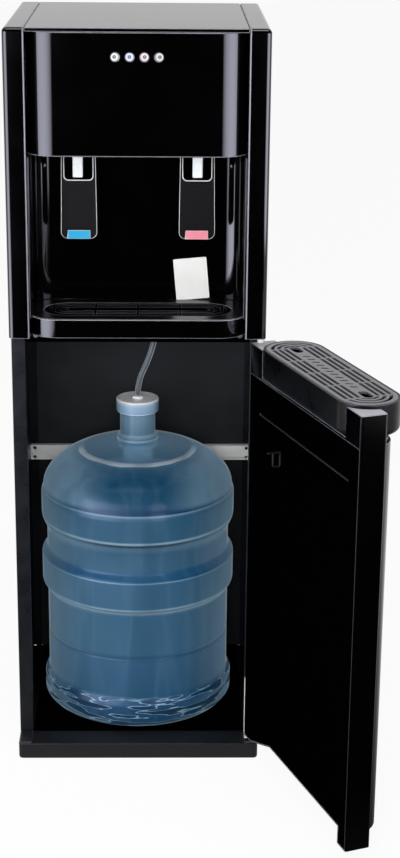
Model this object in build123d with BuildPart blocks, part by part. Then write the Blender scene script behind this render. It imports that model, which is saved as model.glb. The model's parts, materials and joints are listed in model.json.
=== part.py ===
from build123d import *
import os
from math import cos, pi, radians, sin, tan

# Bottom load water cooler: a free-standing cabinet with a dispensing recess above and a bottle bay below,
# closed by a hinged door that carries a lift-out drip tray.
# Millimetres, +Z up, front towards -Y. The origin is on the floor, under the middle of the cabinet.
# The door is drawn where it stands open, as a bottle is being changed.

os.makedirs("parts", exist_ok=True)

# ------------------------------------------------------------------ driving sizes
cabinet_width = 330
cabinet_depth = 320
cabinet_height = 995
sheet = 1.2  # steel sheet
moulding = 2.5  # wall of the plastic mouldings
seam = 0.4  # gap between two fixed covers
seat = 0.3  # gap between a loose piece and what it rests on

base_height = 23
base_deck = 3
base_rim = 5
base_corner = 6
landing_pad_height = 2
landing_pad_width = 17
floor_tray_thickness = 2

door_thickness = 34
door_gap = 3  # between the closed door and the posts behind it
door_rise = 1  # between the landing pads and the door
door_side_gap = 1
door_open_angle = 110
upper_front_bottom = 603
hinge_head_gap = 10  # between the door's top and the front above it

lower_post_width = 18
lower_post_lip = 14
rear_return = 13

side_frame_width = 27
side_frame_depth = 40
side_rail_height = 26
side_frame_corner = 6

bow_end_width = 34  # the curved stretch at each end of a bowed front
fascia_bottom = 837
fascia_setback = 28
cover_lip = 5
cover_depth = 12
lamp_diameter = 10
lamp_pitch = 17.9
lamp_drop = 35  # from the cabinet's top down to the lamps
lamp_flange = 1.5

shelf_rise = 1  # from the front's lower edge to the shelf
shelf_height = 25
shelf_setback = 22
recess_depth = 107
recess_corner = 25
recess_front = 2

grille_thickness = 3.2
slot_width = 4.2
slot_ring_pitch = 7.9
grille_border = 8.5  # from a grille's edge to the middle of its outer slot
cross_rib_width = 3
cross_rib_pitch = 55
shelf_grille_length = 244
shelf_grille_width = 65
shelf_grille_setback = 19.5

tray_length = 289
tray_width = 80
tray_reach = 42  # how far the drip tray stands out of the door
tray_proud = 4  # how far its rim stands over the door's top
tray_pocket_depth = 37
tray_wall = 2
tray_seat_step = 2

tap_pitch = 152  # between the cold and the hot tap
paddle_front = 62  # behind the front plane
paddle_thickness = 5
paddle_top = 829
paddle_bottom = 720
paddle_top_width = 44
paddle_bottom_width = 47
window_width = 36
window_bottom = 797
window_corner = 5
valve_width = 34
valve_front = 52
valve_depth = 28
valve_port = 66
nipple_radius = 5
nipple_length = 8
valve_bottom = 801
valve_top = 853
pivot_height = 822
pivot_diameter = 4
spout_width = 13
spout_depth = 12
spout_bottom = 804
spout_bore = 8
tag_width = 29
tag_height = 11.5

bottle_diameter = 272
bottle_wall = 2
bottle_neck_diameter = 49
bottle_neck_top = 468
bottle_front_gap = 1.5
bottle_x = -2.5  # where the bottle stands in the bay
cap_diameter = 59.4
cap_height = 19
cap_wall = 3
probe_diameter = 8
hose_diameter = 8

hinge_inset = 5  # from the door's side edge to the hinge axis
hinge_depth = 22  # from the door's front plane to the hinge axis
hinge_pin_diameter = 5
hinge_pin_clearance = 0.06
hinge_pin_reach = 18
hinge_plate = 2
hinge_leaf_front = 14  # front edge of the hinge leaves, behind the front plane

# ------------------------------------------------------------------ sizes that follow
half_width = cabinet_width / 2
front = -cabinet_depth / 2
inner_half = half_width - side_frame_width
post_face = door_thickness + door_gap
fascia_top = cabinet_height - cover_lip - seam
lamp_height = cabinet_height - lamp_drop
shelf_bottom = upper_front_bottom + shelf_rise
shelf_top = shelf_bottom + shelf_height
rear_face = cabinet_depth - sheet
floor_top = base_height + floor_tray_thickness
door_bottom = base_height + landing_pad_height + door_rise
door_top = upper_front_bottom - hinge_head_gap
door_width = cabinet_width - door_side_gap
panel_bottom = base_height


def behind(distance):
    """Y of a plane that lies this far behind the cabinet's front."""
    return front + distance


def facing_front(distance, height=0):
    """Upright plane that faces the front: its x is the cabinet's X and its y is up."""
    return Plane(origin=(0, behind(distance), height), x_dir=(1, 0, 0), z_dir=(0, -1, 0))


def facing_back(distance, height=0):
    """Upright plane that faces the back: its x is the cabinet's -X and its y is up."""
    return Plane(origin=(0, behind(distance), height), x_dir=(-1, 0, 0), z_dir=(0, 1, 0))


def area(x_from, x_to, y_from, y_to, mode=Mode.ADD):
    """Rectangle between two x and two y values of the sketch."""
    with Locations(((x_from + x_to) / 2, (y_from + y_to) / 2)):
        Rectangle(abs(x_to - x_from), abs(y_to - y_from), mode=mode)


def bowed_outline(half, setback, depth):
    """Plan of a bowed front: flat in the middle, its ends sweeping back by setback, closed at depth."""
    flat = half - bow_end_width
    with BuildSketch() as outline:
        with BuildLine():
            Line((-flat, 0), (flat, 0))
            TangentArc((flat, 0), (half, setback), tangent=(1, 0))
            Polyline((half, setback), (half, depth), (-half, depth), (-half, setback))
            TangentArc((-flat, 0), (-half, setback), tangent=(-1, 0))
        make_face()
    return outline.sketch


# ------------------------------------------------------------------ base and cabinet sheets
pad_x = half_width - landing_pad_width / 2 - 1
pocket_columns = 4
pocket_pitch_x = (cabinet_width - 2 * base_rim + base_deck) / pocket_columns
pocket_pitch_y = (cabinet_depth - 2 * base_rim + base_deck) / pocket_columns

with BuildPart() as base_tray:
    with BuildSketch():
        RectangleRounded(cabinet_width, cabinet_depth, base_corner)
    extrude(amount=base_height)
    fillet(base_tray.faces().sort_by(Axis.Z)[0].outer_wire().edges(), base_deck)
    fillet(base_tray.faces().sort_by(Axis.Z)[-1].outer_wire().edges(), 1)
    with BuildSketch(Plane.XY.offset(base_height)):
        area(-pad_x - landing_pad_width / 2, -pad_x + landing_pad_width / 2, behind(2), behind(post_face - 1))
        area(pad_x - landing_pad_width / 2, pad_x + landing_pad_width / 2, behind(2), behind(hinge_leaf_front - 1))
    extrude(amount=landing_pad_height)
    with BuildSketch():
        with GridLocations(pocket_pitch_x, pocket_pitch_y, pocket_columns, pocket_columns):
            RectangleRounded(pocket_pitch_x - base_deck, pocket_pitch_y - base_deck, base_deck)
    extrude(amount=base_height - base_deck, mode=Mode.SUBTRACT)
base_tray.part.label = "base_tray"
export_step(base_tray.part, "parts/base_tray.step")

floor_half = half_width - lower_post_width - seam

with BuildPart() as compartment_floor:
    with BuildSketch(Plane.XY.offset(base_height)):
        area(-floor_half, floor_half, behind(post_face + 1), behind(rear_face - seam))
    extrude(amount=floor_tray_thickness)
    chamfer(compartment_floor.faces().sort_by(Axis.Z)[-1].outer_wire().edges(), 1)
compartment_floor.part.label = "compartment_floor"
export_step(compartment_floor.part, "parts/compartment_floor.step")


def side_panel(side):
    """Folded steel side: a boxed post beside the door, a flat sheet above it and a return at the back."""
    outer = side * half_width
    inner = side * (half_width - sheet)
    post = side * (half_width - lower_post_width)
    rail_bottom = cabinet_height - side_rail_height
    with BuildPart() as panel:
        with BuildSketch(Plane.XY.offset(panel_bottom)):
            area(inner, outer, behind(post_face), behind(cabinet_depth))
            area(post, outer, behind(post_face), behind(post_face + sheet))
            area(post, post + side * sheet, behind(post_face), behind(post_face + lower_post_lip))
            area(outer, side * (half_width - rear_return), behind(rear_face), behind(cabinet_depth))
        extrude(amount=upper_front_bottom - panel_bottom - seam)
        with BuildSketch(Plane.XY.offset(upper_front_bottom - seam)):
            area(inner, outer, behind(side_frame_depth + seam), behind(cabinet_depth))
            area(outer, side * (half_width - rear_return), behind(rear_face), behind(cabinet_depth))
        extrude(amount=rail_bottom - upper_front_bottom)
    return panel


panel_left = side_panel(-1)
panel_left.part.label = "side_panel_left"
export_step(panel_left.part, "parts/side_panel_left.step")
panel_right = side_panel(1)
panel_right.part.label = "side_panel_right"
export_step(panel_right.part, "parts/side_panel_right.step")


def side_frame(side):
    """Moulded frame at one side of the upper front: a post with a top rail that runs to the back."""
    rail_bottom = cabinet_height - side_rail_height
    middle = side * (inner_half + side_frame_width / 2)
    hollow = side_frame_width - 2 * moulding
    with BuildPart() as frame:
        with BuildSketch(Plane.YZ.offset(side * inner_half)):
            area(behind(0), behind(side_frame_depth), upper_front_bottom, cabinet_height)
            area(behind(0), behind(cabinet_depth), rail_bottom, cabinet_height)
        extrude(amount=side * side_frame_width)
        outside = frame.faces().sort_by(Axis.X)[0 if side < 0 else -1]
        fillet(outside.edges().filter_by(Axis.Z).sort_by(Axis.Y)[0], side_frame_corner)
        outside = frame.faces().sort_by(Axis.X)[0 if side < 0 else -1]
        fillet(outside.edges().filter_by(Axis.Y).sort_by(Axis.Z)[-1], side_frame_corner)
        inside = frame.faces().sort_by(Axis.X)[-1 if side < 0 else 0]
        chamfer(inside.edges().filter_by(Axis.Z).sort_by(Axis.Y)[0], 1.2)
        with BuildSketch(Plane.XY.offset(upper_front_bottom + moulding)):
            with Locations((middle, behind(moulding + side_frame_depth / 2))):
                RectangleRounded(hollow, side_frame_depth, side_frame_corner - moulding)
        extrude(amount=rail_bottom - upper_front_bottom - 2 * moulding, mode=Mode.SUBTRACT)
        with BuildSketch(Plane.XY.offset(rail_bottom)):
            area(
                middle - hollow / 2,
                middle + hollow / 2,
                behind(side_frame_depth + seam),
                behind(cabinet_depth - moulding),
            )
        extrude(amount=side_rail_height - moulding, mode=Mode.SUBTRACT)
    return frame


frame_left = side_frame(-1)
frame_left.part.label = "side_frame_left"
export_step(frame_left.part, "parts/side_frame_left.step")
frame_right = side_frame(1)
frame_right.part.label = "side_frame_right"
export_step(frame_right.part, "parts/side_frame_right.step")

cover_half = inner_half - seam

with BuildPart() as top_cover:
    with BuildSketch(Plane.XY.offset(cabinet_height - cover_depth)):
        area(-cover_half, cover_half, behind(0), behind(cabinet_depth))
    extrude(amount=cover_depth)
    chamfer(top_cover.faces().sort_by(Axis.Z)[-1].edges().filter_by(Axis.Y), 0.8)
    with BuildSketch(Plane.XY.offset(cabinet_height - cover_depth)):
        area(-cover_half + moulding, cover_half - moulding, behind(moulding), behind(cabinet_depth - moulding))
    extrude(amount=cover_depth - moulding, mode=Mode.SUBTRACT)
    with BuildSketch(Plane.XY.offset(cabinet_height - cover_depth)):
        area(-cover_half, cover_half, behind(0), behind(side_frame_depth))
    extrude(amount=cover_depth - cover_lip, mode=Mode.SUBTRACT)
top_cover.part.label = "top_cover"
export_step(top_cover.part, "parts/top_cover.step")

# ------------------------------------------------------------------ fascia with its lamps
fascia_half = inner_half - seam
fascia_depth = side_frame_depth - 2
lamp_count = 4

fascia_plan = bowed_outline(fascia_half, fascia_setback, fascia_depth)
fascia_hollow_plan = bowed_outline(fascia_half, fascia_setback, fascia_depth + 2 * moulding)

with BuildPart() as fascia:
    with BuildSketch(Plane(origin=(0, front, fascia_bottom))):
        add(fascia_plan)
    extrude(amount=fascia_top - fascia_bottom)
    chamfer(fascia.faces().sort_by(Axis.Z)[0].edges().sort_by(Axis.Y)[0:3], 0.8)
    with BuildSketch(Plane(origin=(0, front, fascia_bottom + moulding))):
        offset(fascia_hollow_plan, amount=-moulding)
    extrude(amount=fascia_top - fascia_bottom - 2 * moulding, mode=Mode.SUBTRACT)
    with BuildSketch(facing_front(0, lamp_height)):
        with GridLocations(lamp_pitch, 1, lamp_count, 1):
            Circle(lamp_diameter / 2 + 0.1)
    extrude(amount=-moulding, mode=Mode.SUBTRACT)
fascia.part.label = "fascia"
export_step(fascia.part, "parts/fascia.step")

with BuildPart() as indicator_lenses:
    with BuildSketch(facing_front(0, lamp_height)):
        with GridLocations(lamp_pitch, 1, lamp_count, 1):
            Circle(lamp_diameter / 2)
    extrude(amount=-moulding)
    with BuildSketch(facing_front(moulding, lamp_height)):
        with GridLocations(lamp_pitch, 1, lamp_count, 1):
            Circle(lamp_diameter / 2 + 1)
    extrude(amount=-lamp_flange)
indicator_lenses.part.label = "indicator_lenses"
export_step(indicator_lenses.part, "parts/indicator_lenses.step")

board_thickness = 1.6
display_board_front = moulding + lamp_flange + 3

with BuildPart() as display_board:
    with BuildSketch(facing_front(display_board_front, lamp_height)):
        Rectangle(lamp_pitch * (lamp_count + 1), 28)
    extrude(amount=-board_thickness)
    with BuildSketch(facing_front(display_board_front, lamp_height)):
        with GridLocations(lamp_pitch, 1, lamp_count, 1):
            Rectangle(5, 5)
    extrude(amount=display_board_front - moulding - lamp_flange)
display_board.part.label = "display_board"
export_step(display_board.part, "parts/display_board.step")

# ------------------------------------------------------------------ dispensing recess
recess_half = inner_half - seam
recess_top = fascia_bottom - seam

with BuildPart() as dispensing_recess:
    with BuildSketch(Plane.XY.offset(shelf_top)) as recess_plan:
        area(-recess_half, recess_half, behind(recess_front), behind(recess_depth))
        fillet(recess_plan.vertices().group_by(Axis.Y)[-1], recess_corner)
    extrude(amount=recess_top - shelf_top)
    with BuildSketch(Plane.XY.offset(shelf_top)) as hollow_plan:
        area(
            -recess_half + moulding,
            recess_half - moulding,
            behind(0),
            behind(recess_depth - moulding),
        )
        fillet(hollow_plan.vertices().group_by(Axis.Y)[-1], recess_corner - moulding)
    extrude(amount=recess_top - shelf_top - moulding, mode=Mode.SUBTRACT)
    # the fascia's lower wall closes the front of the ceiling
    with BuildSketch(Plane.XY.offset(recess_top - moulding)):
        area(-recess_half + moulding, recess_half - moulding, behind(0), behind(fascia_depth))
    extrude(amount=moulding, mode=Mode.SUBTRACT)
    # openings that the two tap valves pass through
    with BuildSketch(Plane.XY.offset(recess_top - moulding)):
        with Locations((0, behind(valve_front + valve_depth / 2))):
            with GridLocations(tap_pitch, 1, 2, 1):
                Rectangle(valve_width + 2 * seam, valve_depth + 2 * seam)
    extrude(amount=moulding, mode=Mode.SUBTRACT)
dispensing_recess.part.label = "dispensing_recess"
export_step(dispensing_recess.part, "parts/dispensing_recess.step")


# ------------------------------------------------------------------ slotted grilles
def slotted_grille(plane, length, width, strip_holes, strip_hole_pitch, thumb_hole_pitch):
    """Flat grille with three rings of slots that follow its outline, cut by cross ribs.

    The strip in its middle has a row of short slanted slots, and a thumb hole near each end.
    """
    with BuildPart() as grille:
        with BuildSketch(plane):
            SlotOverall(length, width)
        extrude(amount=grille_thickness)
        chamfer(grille.faces().sort_by(Axis.Z)[-1].outer_wire().edges(), 0.6)
        with BuildSketch(plane):
            for ring in range(3):
                inset = 2 * (grille_border + slot_ring_pitch * ring)
                SlotOverall(length - inset + slot_width, width - inset + slot_width)
                SlotOverall(length - inset - slot_width, width - inset - slot_width, mode=Mode.SUBTRACT)
            with GridLocations(cross_rib_pitch, 1, 5, 1):
                Rectangle(cross_rib_width, width, mode=Mode.SUBTRACT)
        extrude(amount=grille_thickness, mode=Mode.SUBTRACT)
        if strip_holes:
            with BuildSketch(plane):
                with GridLocations(strip_hole_pitch, 1, strip_holes, 1):
                    SlotOverall(10, 4.5, rotation=60)
            extrude(amount=grille_thickness, mode=Mode.SUBTRACT)
        with BuildSketch(plane):
            with GridLocations(thumb_hole_pitch, 1, 2, 1):
                SlotOverall(26, 12)
        extrude(amount=grille_thickness, mode=Mode.SUBTRACT)
    return grille


# ------------------------------------------------------------------ shelf under the taps
shelf_half = inner_half - seam
shelf_depth = recess_depth - moulding - seam
basin_middle = shelf_grille_setback + shelf_grille_width / 2
basin_floor = shelf_bottom + moulding
grille_seat = shelf_top - grille_thickness

shelf_plan = bowed_outline(shelf_half, shelf_setback, shelf_depth)

with BuildPart() as shelf:
    with BuildSketch(Plane(origin=(0, front, shelf_bottom))):
        add(shelf_plan)
    extrude(amount=shelf_height)
    chamfer(shelf.faces().sort_by(Axis.Z)[-1].edges().sort_by(Axis.Y)[0:3], 0.8)
    with BuildSketch(Plane(origin=(0, front, shelf_bottom))):
        offset(shelf_plan, amount=-moulding)
    extrude(amount=shelf_height - moulding, mode=Mode.SUBTRACT)
    with BuildSketch(Plane(origin=(0, behind(basin_middle), shelf_bottom))):
        SlotOverall(shelf_grille_length + 2 * moulding, shelf_grille_width + 2 * moulding)
    extrude(amount=shelf_height)
    with BuildSketch(Plane(origin=(0, behind(basin_middle), grille_seat - seat))):
        SlotOverall(shelf_grille_length + 2 * seat, shelf_grille_width + 2 * seat)
    extrude(amount=grille_thickness + seat, mode=Mode.SUBTRACT)
    with BuildSketch(Plane(origin=(0, behind(basin_middle), basin_floor))):
        SlotOverall(shelf_grille_length - 5, shelf_grille_width - 5)
    extrude(amount=grille_seat - basin_floor, mode=Mode.SUBTRACT)
shelf.part.label = "shelf"
export_step(shelf.part, "parts/shelf.step")

shelf_grille = slotted_grille(
    Plane(origin=(0, behind(basin_middle), grille_seat)), shelf_grille_length, shelf_grille_width, 0, 1, 160
)
shelf_grille.part.label = "shelf_grille"
export_step(shelf_grille.part, "parts/shelf_grille.step")


# ------------------------------------------------------------------ taps
def tap_valve(x):
    """Valve block that hangs through the recess's ceiling, with the paddle's two pivot stubs."""
    pivot_back = paddle_front + paddle_thickness / 2
    stub = (window_width / 2 - valve_width / 2) + 3.5
    with BuildPart() as valve:
        with BuildSketch(Plane.XY.offset(valve_bottom)):
            with Locations((x, behind(valve_front + valve_depth / 2))):
                RectangleRounded(valve_width, valve_depth, 3)
        extrude(amount=valve_top - valve_bottom)
        for side in (-1, 1):
            with BuildSketch(Plane.YZ.offset(x + side * valve_width / 2)):
                with Locations((behind(pivot_back), pivot_height)):
                    Circle(pivot_diameter / 2)
            extrude(amount=side * stub)
        with BuildSketch(Plane.XY.offset(valve_top)):
            with Locations((x, behind(valve_port))):
                Circle(nipple_radius)
        extrude(amount=nipple_length)
    return valve


def tap_spout(x):
    """White nozzle in front of the valve block."""
    with BuildPart() as spout:
        with BuildSketch(Plane.XY.offset(spout_bottom)):
            with Locations((x, behind(valve_front - spout_depth / 2))):
                RectangleRounded(spout_width, spout_depth, 2.5)
        extrude(amount=recess_top - moulding - seam - spout_bottom)
        chamfer(spout.faces().sort_by(Axis.Z)[0].edges(), 0.8)
        with BuildSketch(Plane.XY.offset(spout_bottom)):
            with Locations((x, behind(valve_front - spout_depth / 2))):
                Circle(spout_bore / 2)
        extrude(amount=18, mode=Mode.SUBTRACT)
    return spout


def tap_paddle(x):
    """Push paddle: two arms on the valve's stubs, and a broad pad that the cup presses back."""
    pivot_back = paddle_front + paddle_thickness / 2
    with BuildPart() as paddle:
        with BuildSketch(facing_front(paddle_front)) as pad:
            with BuildLine():
                Polyline(
                    (x - paddle_bottom_width / 2, paddle_bottom),
                    (x + paddle_bottom_width / 2, paddle_bottom),
                    (x + paddle_top_width / 2, paddle_top),
                    (x - paddle_top_width / 2, paddle_top),
                    close=True,
                )
            make_face()
            fillet(pad.vertices().group_by(Axis.Y)[0], 9)
            fillet(pad.vertices().group_by(Axis.Y)[-1], 2)
        extrude(amount=-paddle_thickness)
        fillet(paddle.faces().sort_by(Axis.Y)[0].outer_wire().edges(), 1)
        with BuildSketch(facing_front(paddle_front)) as window:
            area(x - window_width / 2, x + window_width / 2, window_bottom, paddle_top + 10)
            fillet(window.vertices().group_by(Axis.Y)[0], window_corner)
        extrude(amount=-paddle_thickness, mode=Mode.SUBTRACT)
        # hollow of the pad, inside a raised rim
        with BuildSketch(facing_front(paddle_front)):
            with Locations((x, (paddle_bottom + window_bottom) / 2 + 4)):
                RectangleRounded(paddle_top_width - 6, window_bottom - paddle_bottom - 18, 6)
        extrude(amount=-1, mode=Mode.SUBTRACT)
        # seat of the colour tag
        with BuildSketch(facing_front(paddle_front)):
            with Locations((x, paddle_bottom + tag_height / 2)):
                Rectangle(tag_width + 0.2, tag_height + 0.2)
        extrude(amount=-1.2, mode=Mode.SUBTRACT)
        with BuildSketch(Plane.YZ.offset(x - paddle_bottom_width / 2)):
            with Locations((behind(pivot_back), pivot_height)):
                Circle(pivot_diameter / 2 + 0.08)
        extrude(amount=paddle_bottom_width, mode=Mode.SUBTRACT)
    return paddle


def tap_tag(x):
    """Colour tag let into the paddle's lower edge."""
    with BuildPart() as tag:
        with BuildSketch(facing_front(paddle_front)):
            with Locations((x, paddle_bottom + tag_height / 2)):
                Rectangle(tag_width, tag_height)
        extrude(amount=0.4)
        with BuildSketch(facing_front(paddle_front)):
            with Locations((x, paddle_bottom + tag_height / 2)):
                Rectangle(tag_width, tag_height)
        extrude(amount=-1.2)
    return tag


for tap_name, tap_x in (("cold", -tap_pitch / 2), ("hot", tap_pitch / 2)):
    for piece_name, make_piece in (
        ("valve", tap_valve),
        ("spout", tap_spout),
        ("paddle", tap_paddle),
        ("tag", tap_tag),
    ):
        tap_piece = make_piece(tap_x)
        tap_piece.part.label = f"{tap_name}_{piece_name}"
        export_step(tap_piece.part, f"parts/{tap_name}_{piece_name}.step")

# ------------------------------------------------------------------ back panels and deck between the bays
rear_half = half_width - rear_return
deck_underside = upper_front_bottom - sheet
hose_exit_x = 25
bottle_back = door_thickness + bottle_front_gap + bottle_diameter / 2
grommet_bore = hose_diameter / 2 + seat
grommet_hole = 11

with BuildPart() as mid_deck:
    with BuildSketch(Plane.XY.offset(deck_underside)):
        area(-floor_half, floor_half, behind(side_frame_depth + seam), behind(rear_face - seam))
    extrude(amount=sheet)
    with BuildSketch(Plane.XY.offset(deck_underside - 14)):
        area(-floor_half, floor_half, behind(side_frame_depth + seam), behind(side_frame_depth + seam + sheet))
    extrude(amount=14)
    with BuildSketch(Plane.XY.offset(deck_underside)):
        with Locations((hose_exit_x, behind(bottle_back))):
            Circle(grommet_hole)
    extrude(amount=sheet, mode=Mode.SUBTRACT)
mid_deck.part.label = "mid_deck"
export_step(mid_deck.part, "parts/mid_deck.step")

with BuildPart() as hose_grommet:
    with BuildSketch(Plane.XY.offset(deck_underside - 2)):
        with Locations((hose_exit_x, behind(bottle_back))):
            Circle(grommet_hole + 2)
    extrude(amount=2)
    with BuildSketch(Plane.XY.offset(deck_underside)):
        with Locations((hose_exit_x, behind(bottle_back))):
            Circle(grommet_hole - 0.1)
    extrude(amount=sheet)
    with BuildSketch(Plane.XY.offset(upper_front_bottom)):
        with Locations((hose_exit_x, behind(bottle_back))):
            Circle(grommet_hole + 2)
    extrude(amount=2)
    with BuildSketch(Plane.XY.offset(deck_underside - 2)):
        with Locations((hose_exit_x, behind(bottle_back))):
            Circle(grommet_bore)
    extrude(amount=sheet + 4, mode=Mode.SUBTRACT)
hose_grommet.part.label = "hose_grommet"
export_step(hose_grommet.part, "parts/hose_grommet.step")

field_half = 138
field_corner = 4
field_rise = 0.8
panel_fields = ((70, 312), (365, 590))

with BuildPart() as rear_panel:
    with BuildSketch(facing_back(rear_face)):
        area(-rear_half, rear_half, base_height, deck_underside)
    extrude(amount=sheet)
    # two raised fields stiffen the sheet, pressed in from the back
    for field_bottom, field_top in panel_fields:
        with BuildSketch(facing_back(rear_face - field_rise)) as field:
            area(-field_half, field_half, field_bottom, field_top)
            fillet(field.vertices(), field_corner)
        extrude(amount=field_rise)
        with BuildSketch(facing_back(cabinet_depth)) as press:
            area(-field_half + sheet, field_half - sheet, field_bottom + sheet, field_top - sheet)
            fillet(press.vertices(), field_corner - sheet)
        extrude(amount=-field_rise, mode=Mode.SUBTRACT)
rear_panel.part.label = "rear_panel"
export_step(rear_panel.part, "parts/rear_panel.step")

cross_bar_bottom = 330
cross_bar_height = 22.4
cross_bar_depth = 9.6
cross_bar_half = half_width - sheet - seam

with BuildPart() as cross_bar:
    with BuildSketch(Plane.YZ.offset(-cross_bar_half)):
        area(
            behind(rear_face - cross_bar_depth),
            behind(rear_face),
            cross_bar_bottom,
            cross_bar_bottom + cross_bar_height,
        )
        area(
            behind(rear_face - cross_bar_depth + sheet),
            behind(rear_face),
            cross_bar_bottom + sheet,
            cross_bar_bottom + cross_bar_height - sheet,
            mode=Mode.SUBTRACT,
        )
    extrude(amount=2 * cross_bar_half)
    with BuildSketch(facing_front(rear_face - cross_bar_depth, cross_bar_bottom + cross_bar_height / 2)):
        with GridLocations(2 * (cross_bar_half - 6.5), 14, 2, 2):
            Circle(2.4)
    extrude(amount=-sheet, mode=Mode.SUBTRACT)
cross_bar.part.label = "cross_bar"
export_step(cross_bar.part, "parts/cross_bar.step")

# ------------------------------------------------------------------ water bottle and its suction probe
bottle_bottom = floor_top + seat
band_radius = bottle_diameter / 2
ring_radius = band_radius - 1.5
waist_radius = band_radius - 7.5
dome_radius = band_radius - 2.5
dome_base = 345
dome_height = 66
dome_sweep = 79
neck_radius = bottle_neck_diameter / 2
collar_radius = neck_radius + 4.5
collar_bottom = 411
collar_height = 8
bottle_dish = 9
bottle_middle = (bottle_x, behind(bottle_back))
bottle_axis = Axis((*bottle_middle, 0), (0, 0, 1))
bottle_section = Plane(origin=(*bottle_middle, 0), x_dir=(1, 0, 0), z_dir=(0, -1, 0))


def bottle_outline(wall):
    """Half of the bottle's upright section from its axis outwards, drawn a wall's thickness inside its skin."""
    lift = bottle_bottom + wall
    with BuildSketch() as outline:
        with BuildLine():
            Polyline(
                (0, lift + bottle_dish),
                (ring_radius - 44, lift + bottle_dish),
                (ring_radius - 26, lift),
                (ring_radius - 10, lift),
                (ring_radius - wall, lift + 10 - wall),
                (ring_radius - wall, 60),
                (waist_radius - wall, 71),
                (waist_radius - wall, 196),
                (band_radius - wall, 205),
                (band_radius - wall, 248),
                (waist_radius - wall, 256),
                (waist_radius - wall, 287),
                (band_radius - wall, 303),
                (band_radius - wall, 338),
                (dome_radius - wall, dome_base),
            )
            EllipticalCenterArc((0, dome_base), dome_radius - wall, dome_height - wall, 0, arc_size=dome_sweep)
            Polyline(
                (
                    (dome_radius - wall) * cos(radians(dome_sweep)),
                    dome_base + (dome_height - wall) * sin(radians(dome_sweep)),
                ),
                (neck_radius - wall, collar_bottom - 2),
                (neck_radius - wall, bottle_neck_top + wall),
                (0, bottle_neck_top + wall),
                (0, lift + bottle_dish),
            )
        make_face()
        wall_corners = [
            corner
            for corner in outline.vertices()
            if corner.X > ring_radius - 30 and corner.Y < dome_base - 1
        ]
        fillet(wall_corners, 3)
    return outline.sketch


bottle_skin = bottle_outline(0)
bottle_inside = bottle_outline(bottle_wall)

with BuildPart() as water_bottle:
    with BuildSketch(bottle_section):
        add(bottle_skin)
        area(0, collar_radius, collar_bottom, collar_bottom + collar_height)
    revolve(axis=bottle_axis)
    with BuildSketch(bottle_section):
        add(bottle_inside)
    revolve(axis=bottle_axis, mode=Mode.SUBTRACT)
water_bottle.part.label = "water_bottle"
export_step(water_bottle.part, "parts/water_bottle.step")

cap_top = bottle_neck_top + seat + cap_wall
cap_radius = cap_diameter / 2
cap_nipple_height = 3

with BuildPart() as bottle_cap:
    with BuildSketch(bottle_section) as cap_section:
        area(0, cap_radius, cap_top - cap_height, cap_top)
        chamfer(cap_section.vertices().group_by(Axis.X)[-1].sort_by(Axis.Y)[0], 3, 1.2)
        fillet(cap_section.vertices().group_by(Axis.X)[-1].sort_by(Axis.Y)[-1], 2.5)
        area(0, neck_radius + seat, cap_top - cap_height, cap_top - cap_wall, mode=Mode.SUBTRACT)
        area(probe_diameter, cap_radius - 3.5, cap_top - 0.8, cap_top, mode=Mode.SUBTRACT)
        area(0, probe_diameter, cap_top - 1, cap_top + cap_nipple_height)
    revolve(axis=bottle_axis)
bottle_cap.part.label = "bottle_cap"
export_step(bottle_cap.part, "parts/bottle_cap.step")

foot_bottom = bottle_bottom + bottle_dish + 4
foot_height = 26
foot_radius = 10

with BuildPart() as probe_tube:
    with BuildSketch(bottle_section):
        area(probe_diameter / 2 - 1, probe_diameter / 2, foot_bottom + 6, cap_top - cap_wall)
    revolve(axis=bottle_axis)
probe_tube.part.label = "probe_tube"
export_step(probe_tube.part, "parts/probe_tube.step")

with BuildPart() as probe_strainer:
    with BuildSketch(bottle_section):
        area(0, foot_radius, foot_bottom, foot_bottom + foot_height)
        area(0, foot_radius - 1.5, foot_bottom, foot_bottom + foot_height - 4, mode=Mode.SUBTRACT)
        area(0, probe_diameter / 2 + 0.1, foot_bottom, foot_bottom + foot_height, mode=Mode.SUBTRACT)
    revolve(axis=bottle_axis)
    with BuildSketch(Plane.XY.offset(foot_bottom)):
        with Locations(bottle_middle):
            with PolarLocations(0, 4):
                Rectangle(2 * foot_radius + 2, 3)
    extrude(amount=foot_height - 8, mode=Mode.SUBTRACT)
probe_strainer.part.label = "probe_strainer"
export_step(probe_strainer.part, "parts/probe_strainer.step")


# ------------------------------------------------------------------ hoses
def hose(name, points, diameter):
    """Solid hose along straight runs joined by the widest tangent arcs that the runs allow."""
    corners = [Vector(*point) for point in points]
    arcs = []
    for before, corner, after in zip(corners, corners[1:], corners[2:]):
        turn = radians((corner - before).get_angle(after - corner))
        shorter = min((corner - before).length, (after - corner).length)
        arcs.append(0.45 * shorter / tan(turn / 2))
    with BuildPart() as tube:
        with BuildLine() as route:
            FilletPolyline(*corners, radius=arcs)
        start = route.line @ 0
        with BuildSketch(Plane(origin=start, z_dir=route.line % 0)):
            Circle(diameter / 2)
        sweep()
    share = tube.part.volume / (pi * diameter**2 / 4 * route.wire().length)
    print(name, "length", round(route.wire().length, 1), "radii", [round(arc) for arc in arcs], round(share, 3))
    return tube


pump_rise = 15  # from the deck up to the pump
pump_inlet_height = upper_front_bottom + pump_rise
hose_start = cap_top + cap_nipple_height + seat
hose_plane = behind(bottle_back)

suction_hose = hose(
    "suction_hose",
    [
        (bottle_x, hose_plane, hose_start),
        (bottle_x + 1.5, hose_plane + 0.4, hose_start + 22),
        (11, hose_plane - 0.6, hose_start + 47),
        (20.5, hose_plane - 0.8, hose_start + 76),
        (24.3, hose_plane - 0.2, hose_start + 103),
        (hose_exit_x, hose_plane, hose_start + 127),
        (hose_exit_x, hose_plane, pump_inlet_height),
    ],
    hose_diameter,
)
suction_hose.part.label = "suction_hose"
export_step(suction_hose.part, "parts/suction_hose.step")

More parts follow.
